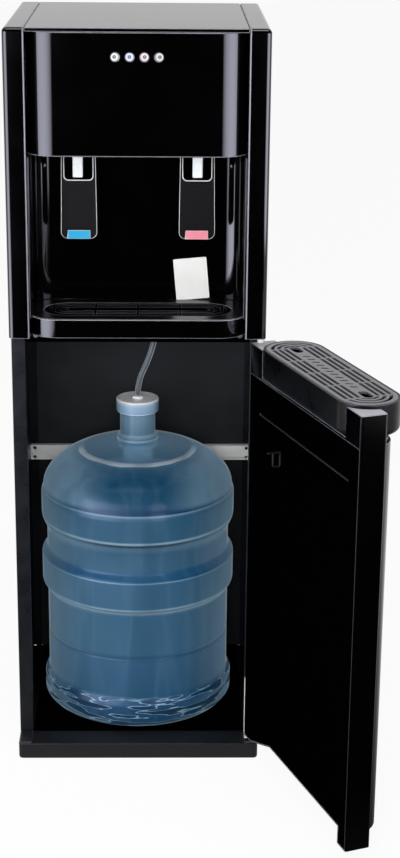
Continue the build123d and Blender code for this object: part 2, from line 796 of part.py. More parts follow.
# ------------------------------------------------------------------ water system in the upper cabinet
pump_half = 24
pump_height = 58
pump_stand = pump_inlet_height + 4
pump_outlet_height = pump_stand + pump_height

with BuildPart() as pump:
    with BuildSketch(Plane.XY.offset(pump_stand)):
        with Locations((hose_exit_x, hose_plane)):
            RectangleRounded(2 * pump_half, 2 * pump_half, 8)
    extrude(amount=pump_height)
    with BuildSketch(Plane.XY.offset(pump_inlet_height)):
        with Locations((hose_exit_x, hose_plane)):
            Circle(6)
    extrude(amount=pump_stand - pump_inlet_height)
    with BuildSketch(Plane.XY.offset(upper_front_bottom)):
        with Locations((hose_exit_x, hose_plane)):
            with GridLocations(1.5 * pump_half, 1.5 * pump_half, 2, 2):
                Circle(4)
    extrude(amount=pump_stand - upper_front_bottom)
    with BuildSketch(Plane.XY.offset(pump_outlet_height)):
        with Locations((hose_exit_x, hose_plane)):
            Circle(5)
    extrude(amount=8)
pump.part.label = "pump"
export_step(pump.part, "parts/pump.step")

tank_height = 190
tank_lift = 12
nipple_top = upper_front_bottom + tank_height + 2 * tank_lift + 6

cold_x = -95
cold_back = 183
cold_radius = 50
cold_foam = 15
cold_outlet = (-85, 183)
cold_inlet = (-105, 165)
cold_transfer = (-98, 212)

hot_x = 106
hot_back = 190
hot_radius = 42
hot_foam = 10
hot_outlet = (96, 183)
hot_inlet = (100, 206)


def tank(x, back, radius, nipples):
    """Stainless tank with rounded edges and hose nipples on top."""
    bottom = upper_front_bottom + tank_lift
    with BuildPart() as vessel:
        with BuildSketch(Plane.XY.offset(bottom)):
            with Locations((x, behind(back))):
                Circle(radius)
        extrude(amount=tank_height)
        fillet(vessel.edges().filter_by(GeomType.CIRCLE), 8)
        with BuildSketch(Plane.XY.offset(bottom + tank_height)):
            for nipple_x, nipple_back in nipples:
                with Locations((nipple_x, behind(nipple_back))):
                    Circle(nipple_radius)
        extrude(amount=nipple_top - bottom - tank_height)
    return vessel


def foam_jacket(x, back, radius, foam, nipples):
    """Foam shell round a tank, standing on the deck."""
    height = tank_height + 2 * tank_lift
    with BuildPart() as jacket:
        with BuildSketch(Plane.XY.offset(upper_front_bottom)):
            with Locations((x, behind(back))):
                Circle(radius + foam)
        extrude(amount=height)
        with BuildSketch(Plane.XY.offset(upper_front_bottom + tank_lift)):
            with Locations((x, behind(back))):
                Circle(radius)
        extrude(amount=tank_height, mode=Mode.SUBTRACT)
        with BuildSketch(Plane.XY.offset(upper_front_bottom + tank_lift)):
            for nipple_x, nipple_back in nipples:
                with Locations((nipple_x, behind(nipple_back))):
                    Circle(nipple_radius + seat)
        extrude(amount=height, mode=Mode.SUBTRACT)
    return jacket


cold_nipples = (cold_outlet, cold_inlet, cold_transfer)
hot_nipples = (hot_outlet, hot_inlet)
hot_tank = tank(hot_x, hot_back, hot_radius, hot_nipples)
hot_tank.part.label = "hot_tank"
export_step(hot_tank.part, "parts/hot_tank.step")
hot_insulation = foam_jacket(hot_x, hot_back, hot_radius, hot_foam, hot_nipples)
hot_insulation.part.label = "hot_insulation"
export_step(hot_insulation.part, "parts/hot_insulation.step")

# thermoelectric cooling: cold block on the tank, module, finned heat sink and fan
module_side = 40
module_thickness = 4
sink_side = 100
sink_base = 5
sink_front = cold_back + cold_radius + cold_foam + 1
fan_side = 92
fan_depth = 25
fan_front = rear_face - fan_depth
fin_count = 13
fin_thickness = 1.5
cooling_height = 710
fan_bore = 44
rotor_radius = 42
hub_radius = 17
axle_radius = 2

cold_vessel = tank(cold_x, cold_back, cold_radius, cold_nipples)

# the block that the module cools is part of the tank
with BuildPart() as cold_tank:
    add(cold_vessel.part)
    with BuildSketch(facing_back(cold_back + cold_radius / 2, cooling_height)):
        with Locations((-cold_x, 0)):
            Rectangle(module_side, module_side)
    extrude(amount=sink_front - module_thickness - cold_back - cold_radius / 2)
cold_tank.part.label = "cold_tank"
export_step(cold_tank.part, "parts/cold_tank.step")

cold_jacket = foam_jacket(cold_x, cold_back, cold_radius, cold_foam, cold_nipples)

with BuildPart() as cold_insulation:
    add(cold_jacket.part)
    with BuildSketch(facing_back(cold_back, cooling_height)):
        with Locations((-cold_x, 0)):
            Rectangle(module_side + 2 * seat, module_side + 2 * seat)
    extrude(amount=cold_radius + cold_foam + 5, mode=Mode.SUBTRACT)
cold_insulation.part.label = "cold_insulation"
export_step(cold_insulation.part, "parts/cold_insulation.step")

with BuildPart() as cooling_module:
    with BuildSketch(facing_back(sink_front - module_thickness, cooling_height)):
        with Locations((-cold_x, 0)):
            Rectangle(module_side, module_side)
    extrude(amount=module_thickness)
cooling_module.part.label = "cooling_module"
export_step(cooling_module.part, "parts/cooling_module.step")

with BuildPart() as heat_sink:
    with BuildSketch(facing_back(sink_front, cooling_height)):
        with Locations((-cold_x, 0)):
            Rectangle(sink_side, sink_side)
    extrude(amount=sink_base)
    with BuildSketch(facing_back(sink_front + sink_base, cooling_height)):
        with Locations((-cold_x, 0)):
            with GridLocations((sink_side - fin_thickness) / (fin_count - 1), 1, fin_count, 1):
                Rectangle(fin_thickness, sink_side)
    extrude(amount=fan_front - sink_front - sink_base)
heat_sink.part.label = "heat_sink"
export_step(heat_sink.part, "parts/heat_sink.step")

with BuildPart() as fan_frame:
    with BuildSketch(facing_back(fan_front, cooling_height)):
        with Locations((-cold_x, 0)):
            RectangleRounded(fan_side, fan_side, 5)
            Circle(fan_bore, mode=Mode.SUBTRACT)
    extrude(amount=fan_depth)
    with BuildSketch(facing_back(rear_face - 4, cooling_height)):
        with Locations((-cold_x, 0)):
            Circle(hub_radius)
            Rectangle(2 * fan_bore + 2, 4)
            Rectangle(4, 2 * fan_bore + 2)
    extrude(amount=4)
    with BuildSketch(facing_back(fan_front + 6, cooling_height)):
        with Locations((-cold_x, 0)):
            Circle(axle_radius)
    extrude(amount=fan_depth - 8)
fan_frame.part.label = "fan_frame"
export_step(fan_frame.part, "parts/fan_frame.step")

blade_count = 7
blade_depth = 14
blade_pitch = 50
rotor_front = fan_front + 2

with BuildPart() as fan_rotor:
    with BuildSketch(facing_back(rotor_front, cooling_height)):
        with Locations((-cold_x, 0)):
            Circle(hub_radius)
    extrude(amount=blade_depth + 2)
    for blade in range(blade_count):
        turn = radians(360 / blade_count * blade)
        outward = Vector(cos(turn), 0, sin(turn))
        across = Vector(-sin(turn), 0, cos(turn)) * cos(radians(blade_pitch)) + Vector(0, sin(radians(blade_pitch)), 0)
        hub_centre = Vector(cold_x, behind(rotor_front + blade_depth / 2 + 1), cooling_height)
        with BuildSketch(Plane(origin=hub_centre, x_dir=outward, z_dir=outward.cross(across))):
            area(hub_radius - 2, rotor_radius, -blade_depth / 2, blade_depth / 2)
        extrude(amount=0.8, both=True)
    with BuildSketch(facing_back(rotor_front + 2, cooling_height)):
        with Locations((-cold_x, 0)):
            Circle(axle_radius + 0.05)
    extrude(amount=blade_depth, mode=Mode.SUBTRACT)
fan_rotor.part.label = "fan_rotor"
export_step(fan_rotor.part, "parts/fan_rotor.step")

power_unit_x = 100
power_unit_back = 275

with BuildPart() as power_unit:
    with BuildSketch(Plane.XY.offset(upper_front_bottom)):
        with Locations((power_unit_x, behind(power_unit_back))):
            RectangleRounded(90, 48, 2)
    extrude(amount=42)
    with BuildSketch(Plane.XY.offset(upper_front_bottom + 42)):
        with Locations((power_unit_x, behind(power_unit_back))):
            Rectangle(60, 34)
    extrude(amount=board_thickness)
    with BuildSketch(Plane.XY.offset(upper_front_bottom + 42 + board_thickness)):
        with Locations((power_unit_x, behind(power_unit_back))):
            with GridLocations(20, 1, 3, 1):
                Rectangle(12, 16)
    extrude(amount=14)
power_unit.part.label = "power_unit"
export_step(power_unit.part, "parts/power_unit.step")

# hoses of the upper cabinet, each ending against the nipples that it joins
arch_high = cabinet_height - 60
arch_low = arch_high - 35
valve_port_top = valve_top + nipple_length

feed_hose = hose(
    "feed_hose",
    [
        (hose_exit_x, hose_plane, pump_outlet_height + nipple_length),
        (hose_exit_x, hose_plane, 765),
        (14, behind(170), 850),
        (-22, behind(168), 897),
        (cold_inlet[0] + 35, behind(166), 897),
        (cold_inlet[0], behind(cold_inlet[1]), 862),
        (cold_inlet[0], behind(cold_inlet[1]), nipple_top),
    ],
    hose_diameter,
)
feed_hose.part.label = "feed_hose"
export_step(feed_hose.part, "parts/feed_hose.step")

transfer_hose = hose(
    "transfer_hose",
    [
        (cold_transfer[0], behind(cold_transfer[1]), nipple_top),
        (cold_transfer[0], behind(cold_transfer[1]), 862),
        (cold_transfer[0] + 35, behind(211), 897),
        (10, behind(209), 905),
        (hot_inlet[0] - 35, behind(207), 897),
        (hot_inlet[0], behind(hot_inlet[1]), 862),
        (hot_inlet[0], behind(hot_inlet[1]), nipple_top),
    ],
    hose_diameter,
)
transfer_hose.part.label = "transfer_hose"
export_step(transfer_hose.part, "parts/transfer_hose.step")


def tap_hose(name, x, outlet):
    """Hose that arches from a valve's port over to a tank's outlet."""
    outlet_x, outlet_back = outlet
    return hose(
        name,
        [
            (x, behind(valve_port), valve_port_top),
            (x, behind(valve_port), arch_low),
            (x + (outlet_x - x) * 0.3, behind(valve_port + 35), arch_high),
            (x + (outlet_x - x) * 0.7, behind(outlet_back - 35), arch_high),
            (outlet_x, behind(outlet_back), arch_low),
            (outlet_x, behind(outlet_back), nipple_top),
        ],
        hose_diameter,
    )


cold_hose = tap_hose("cold_hose", -tap_pitch / 2, cold_outlet)
cold_hose.part.label = "cold_hose"
export_step(cold_hose.part, "parts/cold_hose.step")
hot_hose = tap_hose("hot_hose", tap_pitch / 2, hot_outlet)
hot_hose.part.label = "hot_hose"
export_step(hot_hose.part, "parts/hot_hose.step")

# ------------------------------------------------------------------ upper back
switch_x = 100
switch_rise = 177  # from the deck up to the switches
switch_height = upper_front_bottom + switch_rise
switch_pitch = 22
rocker_width = 14
rocker_length = 22
rocker_throw = 7
inlet_x = 100
inlet_rise = 87  # from the deck up to the power inlet
inlet_height = upper_front_bottom + inlet_rise
inlet_width = 30
inlet_tall = 24
drain_x = 20
drain_rise = 37  # from the deck up to the drain
drain_height = upper_front_bottom + drain_rise
vent_slot_count = 8
vent_drop = 95  # from the cabinet's top down to the middle of the vent slots

with BuildPart() as rear_vent_panel:
    with BuildSketch(facing_back(rear_face)):
        area(-rear_half, rear_half, upper_front_bottom + seam, cabinet_height - side_rail_height - seam)
        area(-cover_half, cover_half, upper_front_bottom + seam, cabinet_height - cover_depth - seam)
    extrude(amount=sheet)
    with BuildSketch(facing_back(rear_face)):
        with Locations((0, cabinet_height - vent_drop)):
            with GridLocations(1, 9, 1, vent_slot_count):
                SlotOverall(220, 4)
        with Locations((-cold_x, cooling_height)):
            for ring in range(4):
                Circle(fan_bore - 9 * ring - 2)
                Circle(fan_bore - 9 * ring - 7, mode=Mode.SUBTRACT)
            Rectangle(2 * fan_bore + 2, 3, mode=Mode.SUBTRACT)
            Rectangle(3, 2 * fan_bore + 2, mode=Mode.SUBTRACT)
        with Locations((-switch_x, switch_height)):
            Rectangle(2 * switch_pitch, rocker_length + 6)
        with Locations((-inlet_x, inlet_height)):
            Rectangle(inlet_width, inlet_tall)
        with Locations((-drain_x, drain_height)):
            Circle(9)
    extrude(amount=sheet, mode=Mode.SUBTRACT)
rear_vent_panel.part.label = "rear_vent_panel"
export_step(rear_vent_panel.part, "parts/rear_vent_panel.step")

bezel_face = cabinet_depth + 2
bezel_depth = 16

with BuildPart() as switch_bezel:
    with BuildSketch(facing_back(cabinet_depth)):
        with Locations((-switch_x, switch_height)):
            RectangleRounded(2 * switch_pitch + 6, rocker_length + 12, 3)
    extrude(amount=bezel_face - cabinet_depth)
    with BuildSketch(facing_back(cabinet_depth)):
        with Locations((-switch_x, switch_height)):
            Rectangle(2 * switch_pitch - 2 * seat, rocker_length + 6 - 2 * seat)
    extrude(amount=-bezel_depth)
    with BuildSketch(facing_back(bezel_face)):
        with Locations((-switch_x, switch_height)):
            with GridLocations(switch_pitch, 1, 2, 1):
                Rectangle(rocker_width + 1.2, rocker_length + 1.2)
    extrude(amount=-bezel_depth, mode=Mode.SUBTRACT)
switch_bezel.part.label = "switch_bezel"
export_step(switch_bezel.part, "parts/switch_bezel.step")

rocker_pivot = bezel_face - 3


def rocker(x):
    """Rocker switch button, drawn pressed at its lower end."""
    tilt = radians(rocker_throw)
    with BuildPart() as button:
        pivot = (x, behind(rocker_pivot), switch_height)
        with BuildSketch(Plane(origin=pivot, x_dir=(-1, 0, 0), z_dir=(0, cos(tilt), sin(tilt)))):
            Rectangle(rocker_width, rocker_length)
        extrude(amount=4.5)
        extrude(button.faces().sort_by(Axis.Y)[0], amount=4)
        fillet(button.edges().filter_by(Axis.X), 1)
    return button


for rocker_name, rocker_x in (
    ("cold_switch", switch_x - switch_pitch / 2),
    ("hot_switch", switch_x + switch_pitch / 2),
):
    switch_button = rocker(rocker_x)
    switch_button.part.label = rocker_name
    export_step(switch_button.part, f"parts/{rocker_name}.step")

with BuildPart() as power_inlet:
    with BuildSketch(facing_back(cabinet_depth)):
        with Locations((-inlet_x, inlet_height)):
            RectangleRounded(inlet_width + 18, inlet_tall + 4, 3)
    extrude(amount=2)
    with BuildSketch(facing_back(cabinet_depth)):
        with Locations((-inlet_x, inlet_height)):
            Rectangle(inlet_width - 2 * seat, inlet_tall - 2 * seat)
    extrude(amount=-20)
    with BuildSketch(facing_back(cabinet_depth + 2)):
        with Locations((-inlet_x, inlet_height)):
            RectangleRounded(inlet_width - 5, inlet_tall - 6, 3)
    extrude(amount=-18, mode=Mode.SUBTRACT)
    with BuildSketch(facing_back(cabinet_depth - 16)):
        with Locations((-inlet_x, inlet_height)):
            with GridLocations(7, 1, 3, 1):
                Rectangle(2, 6)
    extrude(amount=14)
power_inlet.part.label = "power_inlet"
export_step(power_inlet.part, "parts/power_inlet.step")

with BuildPart() as drain_fitting:
    with BuildSketch(facing_back(cabinet_depth)):
        with Locations((-drain_x, drain_height)):
            Circle(13)
    extrude(amount=2)
    with BuildSketch(facing_back(cabinet_depth)):
        with Locations((-drain_x, drain_height)):
            Circle(9 - 0.1)
    extrude(amount=-14)
    with BuildSketch(facing_back(cabinet_depth + 2)):
        with Locations((-drain_x, drain_height)):
            Circle(9 - 0.1)
    extrude(amount=10)
    with BuildSketch(facing_back(cabinet_depth + 12)):
        with Locations((-drain_x, drain_height)):
            Circle(6)
    extrude(amount=-26, mode=Mode.SUBTRACT)
drain_fitting.part.label = "drain_fitting"
export_step(drain_fitting.part, "parts/drain_fitting.step")

with BuildPart() as drain_cap:
    with BuildSketch(facing_back(cabinet_depth + 3)):
        with Locations((-drain_x, drain_height)):
            Circle(12)
            with PolarLocations(12, 12):
                Circle(1.2, mode=Mode.SUBTRACT)
    extrude(amount=12)
    with BuildSketch(facing_back(cabinet_depth + 3)):
        with Locations((-drain_x, drain_height)):
            Circle(9)
    extrude(amount=9.5, mode=Mode.SUBTRACT)
drain_cap.part.label = "drain_cap"
export_step(drain_cap.part, "parts/drain_cap.step")

screw_head_radius = 3.5
screw_head_height = 1.8
screw_heights = (
    base_height + 17,
    cross_bar_bottom - 10,
    deck_underside - 12,
    upper_front_bottom + 13,
    switch_height + 10,
    cabinet_height - 40,
)
deck_screw_x = 133
deck_screw_drop = 6

with BuildPart() as panel_screws:
    with BuildSketch(facing_back(cabinet_depth)):
        for screw_height in screw_heights:
            with Locations((0, screw_height)):
                with GridLocations(2 * (rear_half - 6), 1, 2, 1):
                    Circle(screw_head_radius)
    extrude(amount=screw_head_height)
    with BuildSketch(facing_front(side_frame_depth + seam, upper_front_bottom - deck_screw_drop)):
        with GridLocations(2 * deck_screw_x, 1, 2, 1):
            Circle(screw_head_radius)
    extrude(amount=screw_head_height)
    chamfer(panel_screws.faces().group_by(Axis.Y)[-1].edges(), 0.5)
    chamfer(panel_screws.faces().group_by(Axis.Y)[0].edges(), 0.5)
panel_screws.part.label = "panel_screws"
export_step(panel_screws.part, "parts/panel_screws.step")

# ------------------------------------------------------------------ door, in its own axes
hinge_x = half_width - door_side_gap / 2 - hinge_inset
turn_u = Vector(-cos(radians(door_open_angle)), -sin(radians(door_open_angle)), 0)
turn_w = Vector(sin(radians(door_open_angle)), -cos(radians(door_open_angle)), 0)
hinge_point = Vector(hinge_x, behind(hinge_depth), 0)
hinge_w = door_thickness - hinge_depth


def door_point(u, w, height):
    """Point of the open door: u along it from its hinge edge, w out from its inner face."""
    return hinge_point + turn_u * (u - hinge_inset) + turn_w * (w - hinge_w) + Vector(0, 0, height)


def door_plan(height):
    """Level plane of the open door: x is u and y is w."""
    return Plane(origin=door_point(0, 0, height), x_dir=turn_u, z_dir=(0, 0, 1))


def door_face(w):
    """Upright plane of the open door that faces its inner side: x is u and y is up."""
    return Plane(origin=door_point(0, w, 0), x_dir=turn_u, z_dir=-turn_w)


def door_front_plan(w, height):
    """Level plane for a bowed outline that bulges out of the door to w."""
    return Plane(origin=door_point(door_width / 2, w, height), x_dir=-turn_u, z_dir=(0, 0, 1))


door_middle = door_width / 2
pocket_bottom = door_top - tray_pocket_depth
tray_back = door_thickness + tray_reach - tray_width / 2  # w of the tray's middle
toe_start = 24
toe_slope_end = 90
toe_height = 50
liner_margin = 2
liner_thickness = 2.5
liner_top = pocket_bottom - 4
door_wall = 3

with BuildSketch() as door_profile:
    with BuildLine():
        Polyline(
            (0, door_bottom),
            (toe_start, door_bottom),
            (toe_slope_end, toe_height),
            (door_width - toe_start, toe_height),
            (door_width - toe_start, door_bottom),
            (door_width, door_bottom),
            (door_width, door_top),
            (0, door_top),
            close=True,
        )
    make_face()

with BuildSketch() as liner_profile:
    add(door_profile.sketch)
    area(0, door_width, liner_top + liner_margin, door_top, mode=Mode.SUBTRACT)

front_half = 155.5
front_bulge = 22
front_bottom = 45
front_top = pocket_bottom - 4
lip_half = front_half - 3
lip_plan = bowed_outline(lip_half, front_bulge - 3, front_bulge - 2)
front_plan = bowed_outline(front_half, front_bulge - 2, front_bulge)

with BuildPart() as door_frame:
    with BuildSketch(door_face(0)):
        add(door_profile.sketch)
    extrude(amount=-door_thickness)
    fillet(door_frame.edges().filter_by(Axis.Z).filter_by(lambda edge: edge.length > 500), 3)
    # lip that carries the drip tray outside the door
    with BuildSketch(door_front_plan(door_thickness + front_bulge - 2, front_top + seam)):
        add(lip_plan)
    extrude(amount=pocket_bottom - front_top - seam)
    # pocket of the drip tray
    with BuildSketch(door_plan(pocket_bottom)):
        with Locations((door_middle, tray_back)):
            SlotOverall(tray_length + 2, tray_width + 2)
    extrude(amount=tray_pocket_depth + 1, mode=Mode.SUBTRACT)
    # seat of the inner panel, then the hollow behind it
    with BuildSketch(door_face(0)):
        offset(liner_profile.sketch, amount=-liner_margin)
    extrude(amount=-liner_thickness, mode=Mode.SUBTRACT)
    with BuildSketch(door_face(liner_thickness)):
        offset(liner_profile.sketch, amount=-liner_margin - 4)
        area(0, 12, 0, door_top, mode=Mode.SUBTRACT)
    extrude(amount=liner_thickness + door_wall - door_thickness, mode=Mode.SUBTRACT)
    for bore_start in (door_bottom, door_top - hinge_pin_reach):
        with BuildSketch(door_plan(bore_start)):
            with Locations((hinge_inset, hinge_w)):
                Circle(hinge_pin_diameter / 2 + hinge_pin_clearance)
        extrude(amount=hinge_pin_reach, mode=Mode.SUBTRACT)
door_frame.part.label = "door_frame"
export_step(door_frame.part, "parts/door_frame.step")

crease_height = 505

with BuildPart() as door_liner:
    with BuildSketch(door_face(0)):
        offset(liner_profile.sketch, amount=-liner_margin - seam / 2)
    extrude(amount=-liner_thickness)
    with BuildSketch(door_face(0)):
        area(35, door_width - 29, crease_height, crease_height + 2)
    extrude(amount=-0.8, mode=Mode.SUBTRACT)
door_liner.part.label = "door_liner"
export_step(door_liner.part, "parts/door_liner.step")

with BuildPart() as door_front:
    with BuildSketch(door_front_plan(door_thickness + front_bulge, front_bottom)):
        add(front_plan)
    extrude(amount=front_top - front_bottom)
    with BuildSketch(door_front_plan(door_thickness + front_bulge, front_bottom + moulding)):
        offset(front_plan, amount=-moulding)
    extrude(amount=front_top - front_bottom - 2 * moulding, mode=Mode.SUBTRACT)
door_front.part.label = "door_front"
export_step(door_front.part, "parts/door_front.step")

hanger_u = 105
hanger_top = 478
hanger_thickness = 3.5
hanger_wire = 2.25
hanger_arm = 19
hanger_loop_width = 12
hanger_loop_height = 21
hanger_plane = Plane(
    origin=door_point(hanger_u + hanger_thickness / 2, 0, hanger_top), x_dir=-turn_w, z_dir=-turn_u
)

# the probe's hook: an arm out of the inner panel with a loop hanging under it
with BuildPart() as probe_hanger:
    with BuildSketch(hanger_plane):
        area(0, hanger_arm, -hanger_wire, 0)
        with Locations((hanger_loop_width / 2, -hanger_loop_height / 2)):
            RectangleRounded(hanger_loop_width, hanger_loop_height, 4)
            RectangleRounded(
                hanger_loop_width - 2 * hanger_wire,
                hanger_loop_height - 2 * hanger_wire,
                4 - hanger_wire,
                mode=Mode.SUBTRACT,
            )
    extrude(amount=hanger_thickness)
probe_hanger.part.label = "probe_hanger"
export_step(probe_hanger.part, "parts/probe_hanger.step")

# ------------------------------------------------------------------ drip tray in the door
tray_bottom = pocket_bottom + seat
tray_top = door_top + tray_proud
tray_grille_length = tray_length - 6
tray_grille_width = tray_width - 6
tray_grille_seat = tray_top - grille_thickness

with BuildPart() as drip_tray:
    with BuildSketch(door_plan(tray_bottom)):
        with Locations((door_middle, tray_back)):
            SlotOverall(tray_length, tray_width)
    extrude(amount=tray_top - tray_bottom)
    fillet(drip_tray.faces().sort_by(Axis.Z)[0].outer_wire().edges(), 7)
    with BuildSketch(door_plan(tray_bottom + tray_wall)):
        with Locations((door_middle, tray_back)):
            SlotOverall(tray_length - 2 * moulding, tray_width - 2 * moulding)
    extrude(amount=tray_grille_seat - 6 - tray_bottom - tray_wall, mode=Mode.SUBTRACT)
    with BuildSketch(door_plan(tray_bottom + tray_wall)):
        with Locations((door_middle, tray_back)):
            SlotOverall(tray_grille_length - 3, tray_grille_width - 3)
    extrude(amount=tray_top - tray_bottom, mode=Mode.SUBTRACT)
    with BuildSketch(door_plan(tray_grille_seat - seat)):
        with Locations((door_middle, tray_back)):
            SlotOverall(tray_grille_length + 2 * seat, tray_grille_width + 2 * seat)
    extrude(amount=grille_thickness + 1, mode=Mode.SUBTRACT)
drip_tray.part.label = "drip_tray"
export_step(drip_tray.part, "parts/drip_tray.step")

drip_tray_grille = slotted_grille(
    Plane(origin=door_point(door_middle, tray_back, tray_grille_seat), x_dir=turn_u, z_dir=(0, 0, 1)),
    tray_grille_length,
    tray_grille_width,
    11,
    13.7,
    201,
)
drip_tray_grille.part.label = "drip_tray_grille"
export_step(drip_tray_grille.part, "parts/drip_tray_grille.step")

# ------------------------------------------------------------------ hinges
strap_front = post_face - hinge_plate
strap_inner = half_width - lower_post_width
leaf_outer = half_width - 1

with BuildPart() as lower_hinge:
    with BuildSketch(facing_front(strap_front)):
        area(strap_inner, strap_inner + 9, base_height, 107)
        area(strap_inner, leaf_outer, base_height, 56)
    extrude(amount=-hinge_plate)
    with BuildSketch(Plane.XY.offset(base_height)):
        area(strap_inner, leaf_outer, behind(hinge_leaf_front), behind(post_face))
    extrude(amount=hinge_plate)
    with BuildSketch(Plane.XY.offset(base_height + hinge_plate)):
        with Locations((hinge_x, behind(hinge_depth))):
            Circle(hinge_pin_diameter / 2)
    extrude(amount=hinge_pin_reach)
lower_hinge.part.label = "lower_hinge"
export_step(lower_hinge.part, "parts/lower_hinge.step")

upper_leaf_bottom = upper_front_bottom - hinge_plate
pin_end = door_top - hinge_pin_reach + 2

with BuildPart() as upper_hinge:
    with BuildSketch(Plane.XY.offset(upper_leaf_bottom)):
        area(strap_inner, leaf_outer, behind(hinge_leaf_front), behind(post_face))
    extrude(amount=hinge_plate)
    with BuildSketch(Plane.XY.offset(pin_end)):
        with Locations((hinge_x, behind(hinge_depth))):
            Circle(hinge_pin_diameter / 2)
    extrude(amount=upper_leaf_bottom - pin_end)
    with BuildSketch(Plane.XY.offset(door_top + seat)):
        with Locations((hinge_x, behind(hinge_depth))):
            Circle(4.5)
    extrude(amount=upper_leaf_bottom - door_top - seat)
upper_hinge.part.label = "upper_hinge"
export_step(upper_hinge.part, "parts/upper_hinge.step")
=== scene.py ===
import json
import math
from functools import cache, partial

import bpy
from mathutils import Matrix, Vector


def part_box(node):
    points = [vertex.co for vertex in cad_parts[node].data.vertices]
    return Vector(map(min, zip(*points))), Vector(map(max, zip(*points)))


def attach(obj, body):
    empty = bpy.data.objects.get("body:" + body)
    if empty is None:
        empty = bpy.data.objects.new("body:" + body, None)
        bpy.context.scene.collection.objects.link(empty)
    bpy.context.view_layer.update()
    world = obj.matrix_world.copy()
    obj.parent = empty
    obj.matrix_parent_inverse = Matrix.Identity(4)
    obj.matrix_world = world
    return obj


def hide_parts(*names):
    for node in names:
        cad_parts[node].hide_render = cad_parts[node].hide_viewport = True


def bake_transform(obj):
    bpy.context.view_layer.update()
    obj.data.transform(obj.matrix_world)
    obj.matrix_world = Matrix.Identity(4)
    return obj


bl_info = {
    "name": "Water Cooler Studio",
    "version": (1, 0, 0),
    "blender": (4, 5, 0),
    "location": "View3D > Sidebar > Water Cooler",
    "description": "Dresses the bottom load water cooler for a studio photograph",
    "category": "Object",
}

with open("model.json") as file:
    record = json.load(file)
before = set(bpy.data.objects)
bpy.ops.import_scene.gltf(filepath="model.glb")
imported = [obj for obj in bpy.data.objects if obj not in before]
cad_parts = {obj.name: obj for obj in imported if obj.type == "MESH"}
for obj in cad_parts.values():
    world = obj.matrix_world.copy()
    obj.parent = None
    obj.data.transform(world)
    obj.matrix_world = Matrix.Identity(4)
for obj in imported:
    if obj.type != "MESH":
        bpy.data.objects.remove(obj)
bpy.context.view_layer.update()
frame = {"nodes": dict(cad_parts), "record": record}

# node settings that come back often
SMOOTH = {"interpolation_type": "SMOOTHSTEP"}
COLOURS = {"data_type": "RGBA"}
TIMES = {"operation": "MULTIPLY"}
PLUS = {"operation": "ADD"}
MINUS = {"operation": "SUBTRACT"}
LARGER = {"operation": "MAXIMUM"}
UNSIGNED = {"operation": "ABSOLUTE"}
# the range that most of a noise's values lie in
MIDDLE = {"From Min": 0.3, "From Max": 0.7}


# ------------------------ colour, nodes and mesh helpers
def colour(code):
    """Linear RGBA of an sRGB hex code."""
    channels = [int(code[i:i + 2], 16) / 255 for i in (1, 3, 5)]
    return [c / 12.92 if c <= 0.04045 else ((c + 0.055) / 1.055) ** 2.4 for c in channels] + [1]


def add_node(tree, kind, inputs=None, **settings):
    """Adds a shader node. In inputs a (node, output) pair is a link, a string is a hex code, the rest are values."""
    node = tree.nodes.new("ShaderNode" + kind)
    for name, value in settings.items():
        setattr(node, name, value)
    for name, value in (inputs or {}).items():
        if isinstance(value, tuple) and isinstance(value[0], bpy.types.Node):
            tree.links.new(value[0].outputs[value[1]], node.inputs[name])
        else:
            node.inputs[name].default_value = colour(value) if isinstance(value, str) else value
    return node


def per_mm(size):
    """Noise scale whose grains are about this many millimetres across."""
    return 1000 / size


def mm(size):
    """Metres in this many millimetres."""
    return size / 1000


def span(start, end, most=1.0):
    """Limits of a Map Range node that goes from nothing at start to this much at end."""
    return {"From Min": start, "From Max": end, "To Max": most}


def new_material(name):
    """An empty material, the function that adds its nodes, and its coordinates."""
    material = bpy.data.materials.new(name)
    material.use_nodes = True
    material.node_tree.nodes.clear()
    add = partial(add_node, material.node_tree)
    return material, add, add("TexCoord")


def tone_bands(add, source, output, stops):
    """Colours along a height or a distance, from (value, hex code) stops in rising order."""
    low, high = stops[0][0], stops[-1][0]
    along = add("MapRange", {"Value": (source, output), **span(low, high)})
    band = add("ValToRGB", {"Fac": (along, "Result")})
    elements = band.color_ramp.elements
    while len(elements) < len(stops):
        elements.new(1.0)
    for element, (value, code) in zip(elements, stops):
        element.position = (value - low) / (high - low)
    for element, (value, code) in zip(elements, stops):
        element.color = colour(code)
    return band


def veins(add, place, size, stretch, width):
    """Thin wavy lines, where a stretched noise passes its middle value, and the noise itself."""
    mapping = add("Mapping", {"Vector": (place, "Object"), "Scale": stretch})
    field = add("TexNoise", {"Vector": (mapping, "Vector"), "Scale": per_mm(size), "Detail": 1.5})
    offset = add("Math", {0: (field, "Fac"), 1: 0.5}, **MINUS)
    distance = add("Math", {0: (offset, "Value")}, **UNSIGNED)
    near = {"Value": (distance, "Value"), "From Min": 0.0, "From Max": width, "To Min": 1.0, "To Max": 0.0}
    return add("MapRange", near, **SMOOTH), field


def textured(add, place, size, strength, depth, detail=4.0):
    """Relief of grains or ripples this many millimetres across. Real grain is finer, and is drawn coarser to show."""
    fine = add("TexNoise", {"Vector": (place, "Object"), "Scale": per_mm(size), "Detail": detail})
    return add("Bump", {"Height": (fine, "Fac"), "Strength": strength, "Distance": mm(depth)})


def two_tones(add, place, size, low, high):
    """Slow drift between two tones, in patches this many millimetres across, and the noise it follows."""
    wide = add("TexNoise", {"Vector": (place, "Object"), "Scale": per_mm(size)})
    return add("Mix", {"Factor": (wide, "Fac"), "A": low, "B": high}, **COLOURS), wide


def surfaced(material, add, values):
    """Ends a material's nodes with its shader and its output."""
    shader = add("BsdfPrincipled", values)
    add("OutputMaterial", {"Surface": (shader, "BSDF")})
    return material


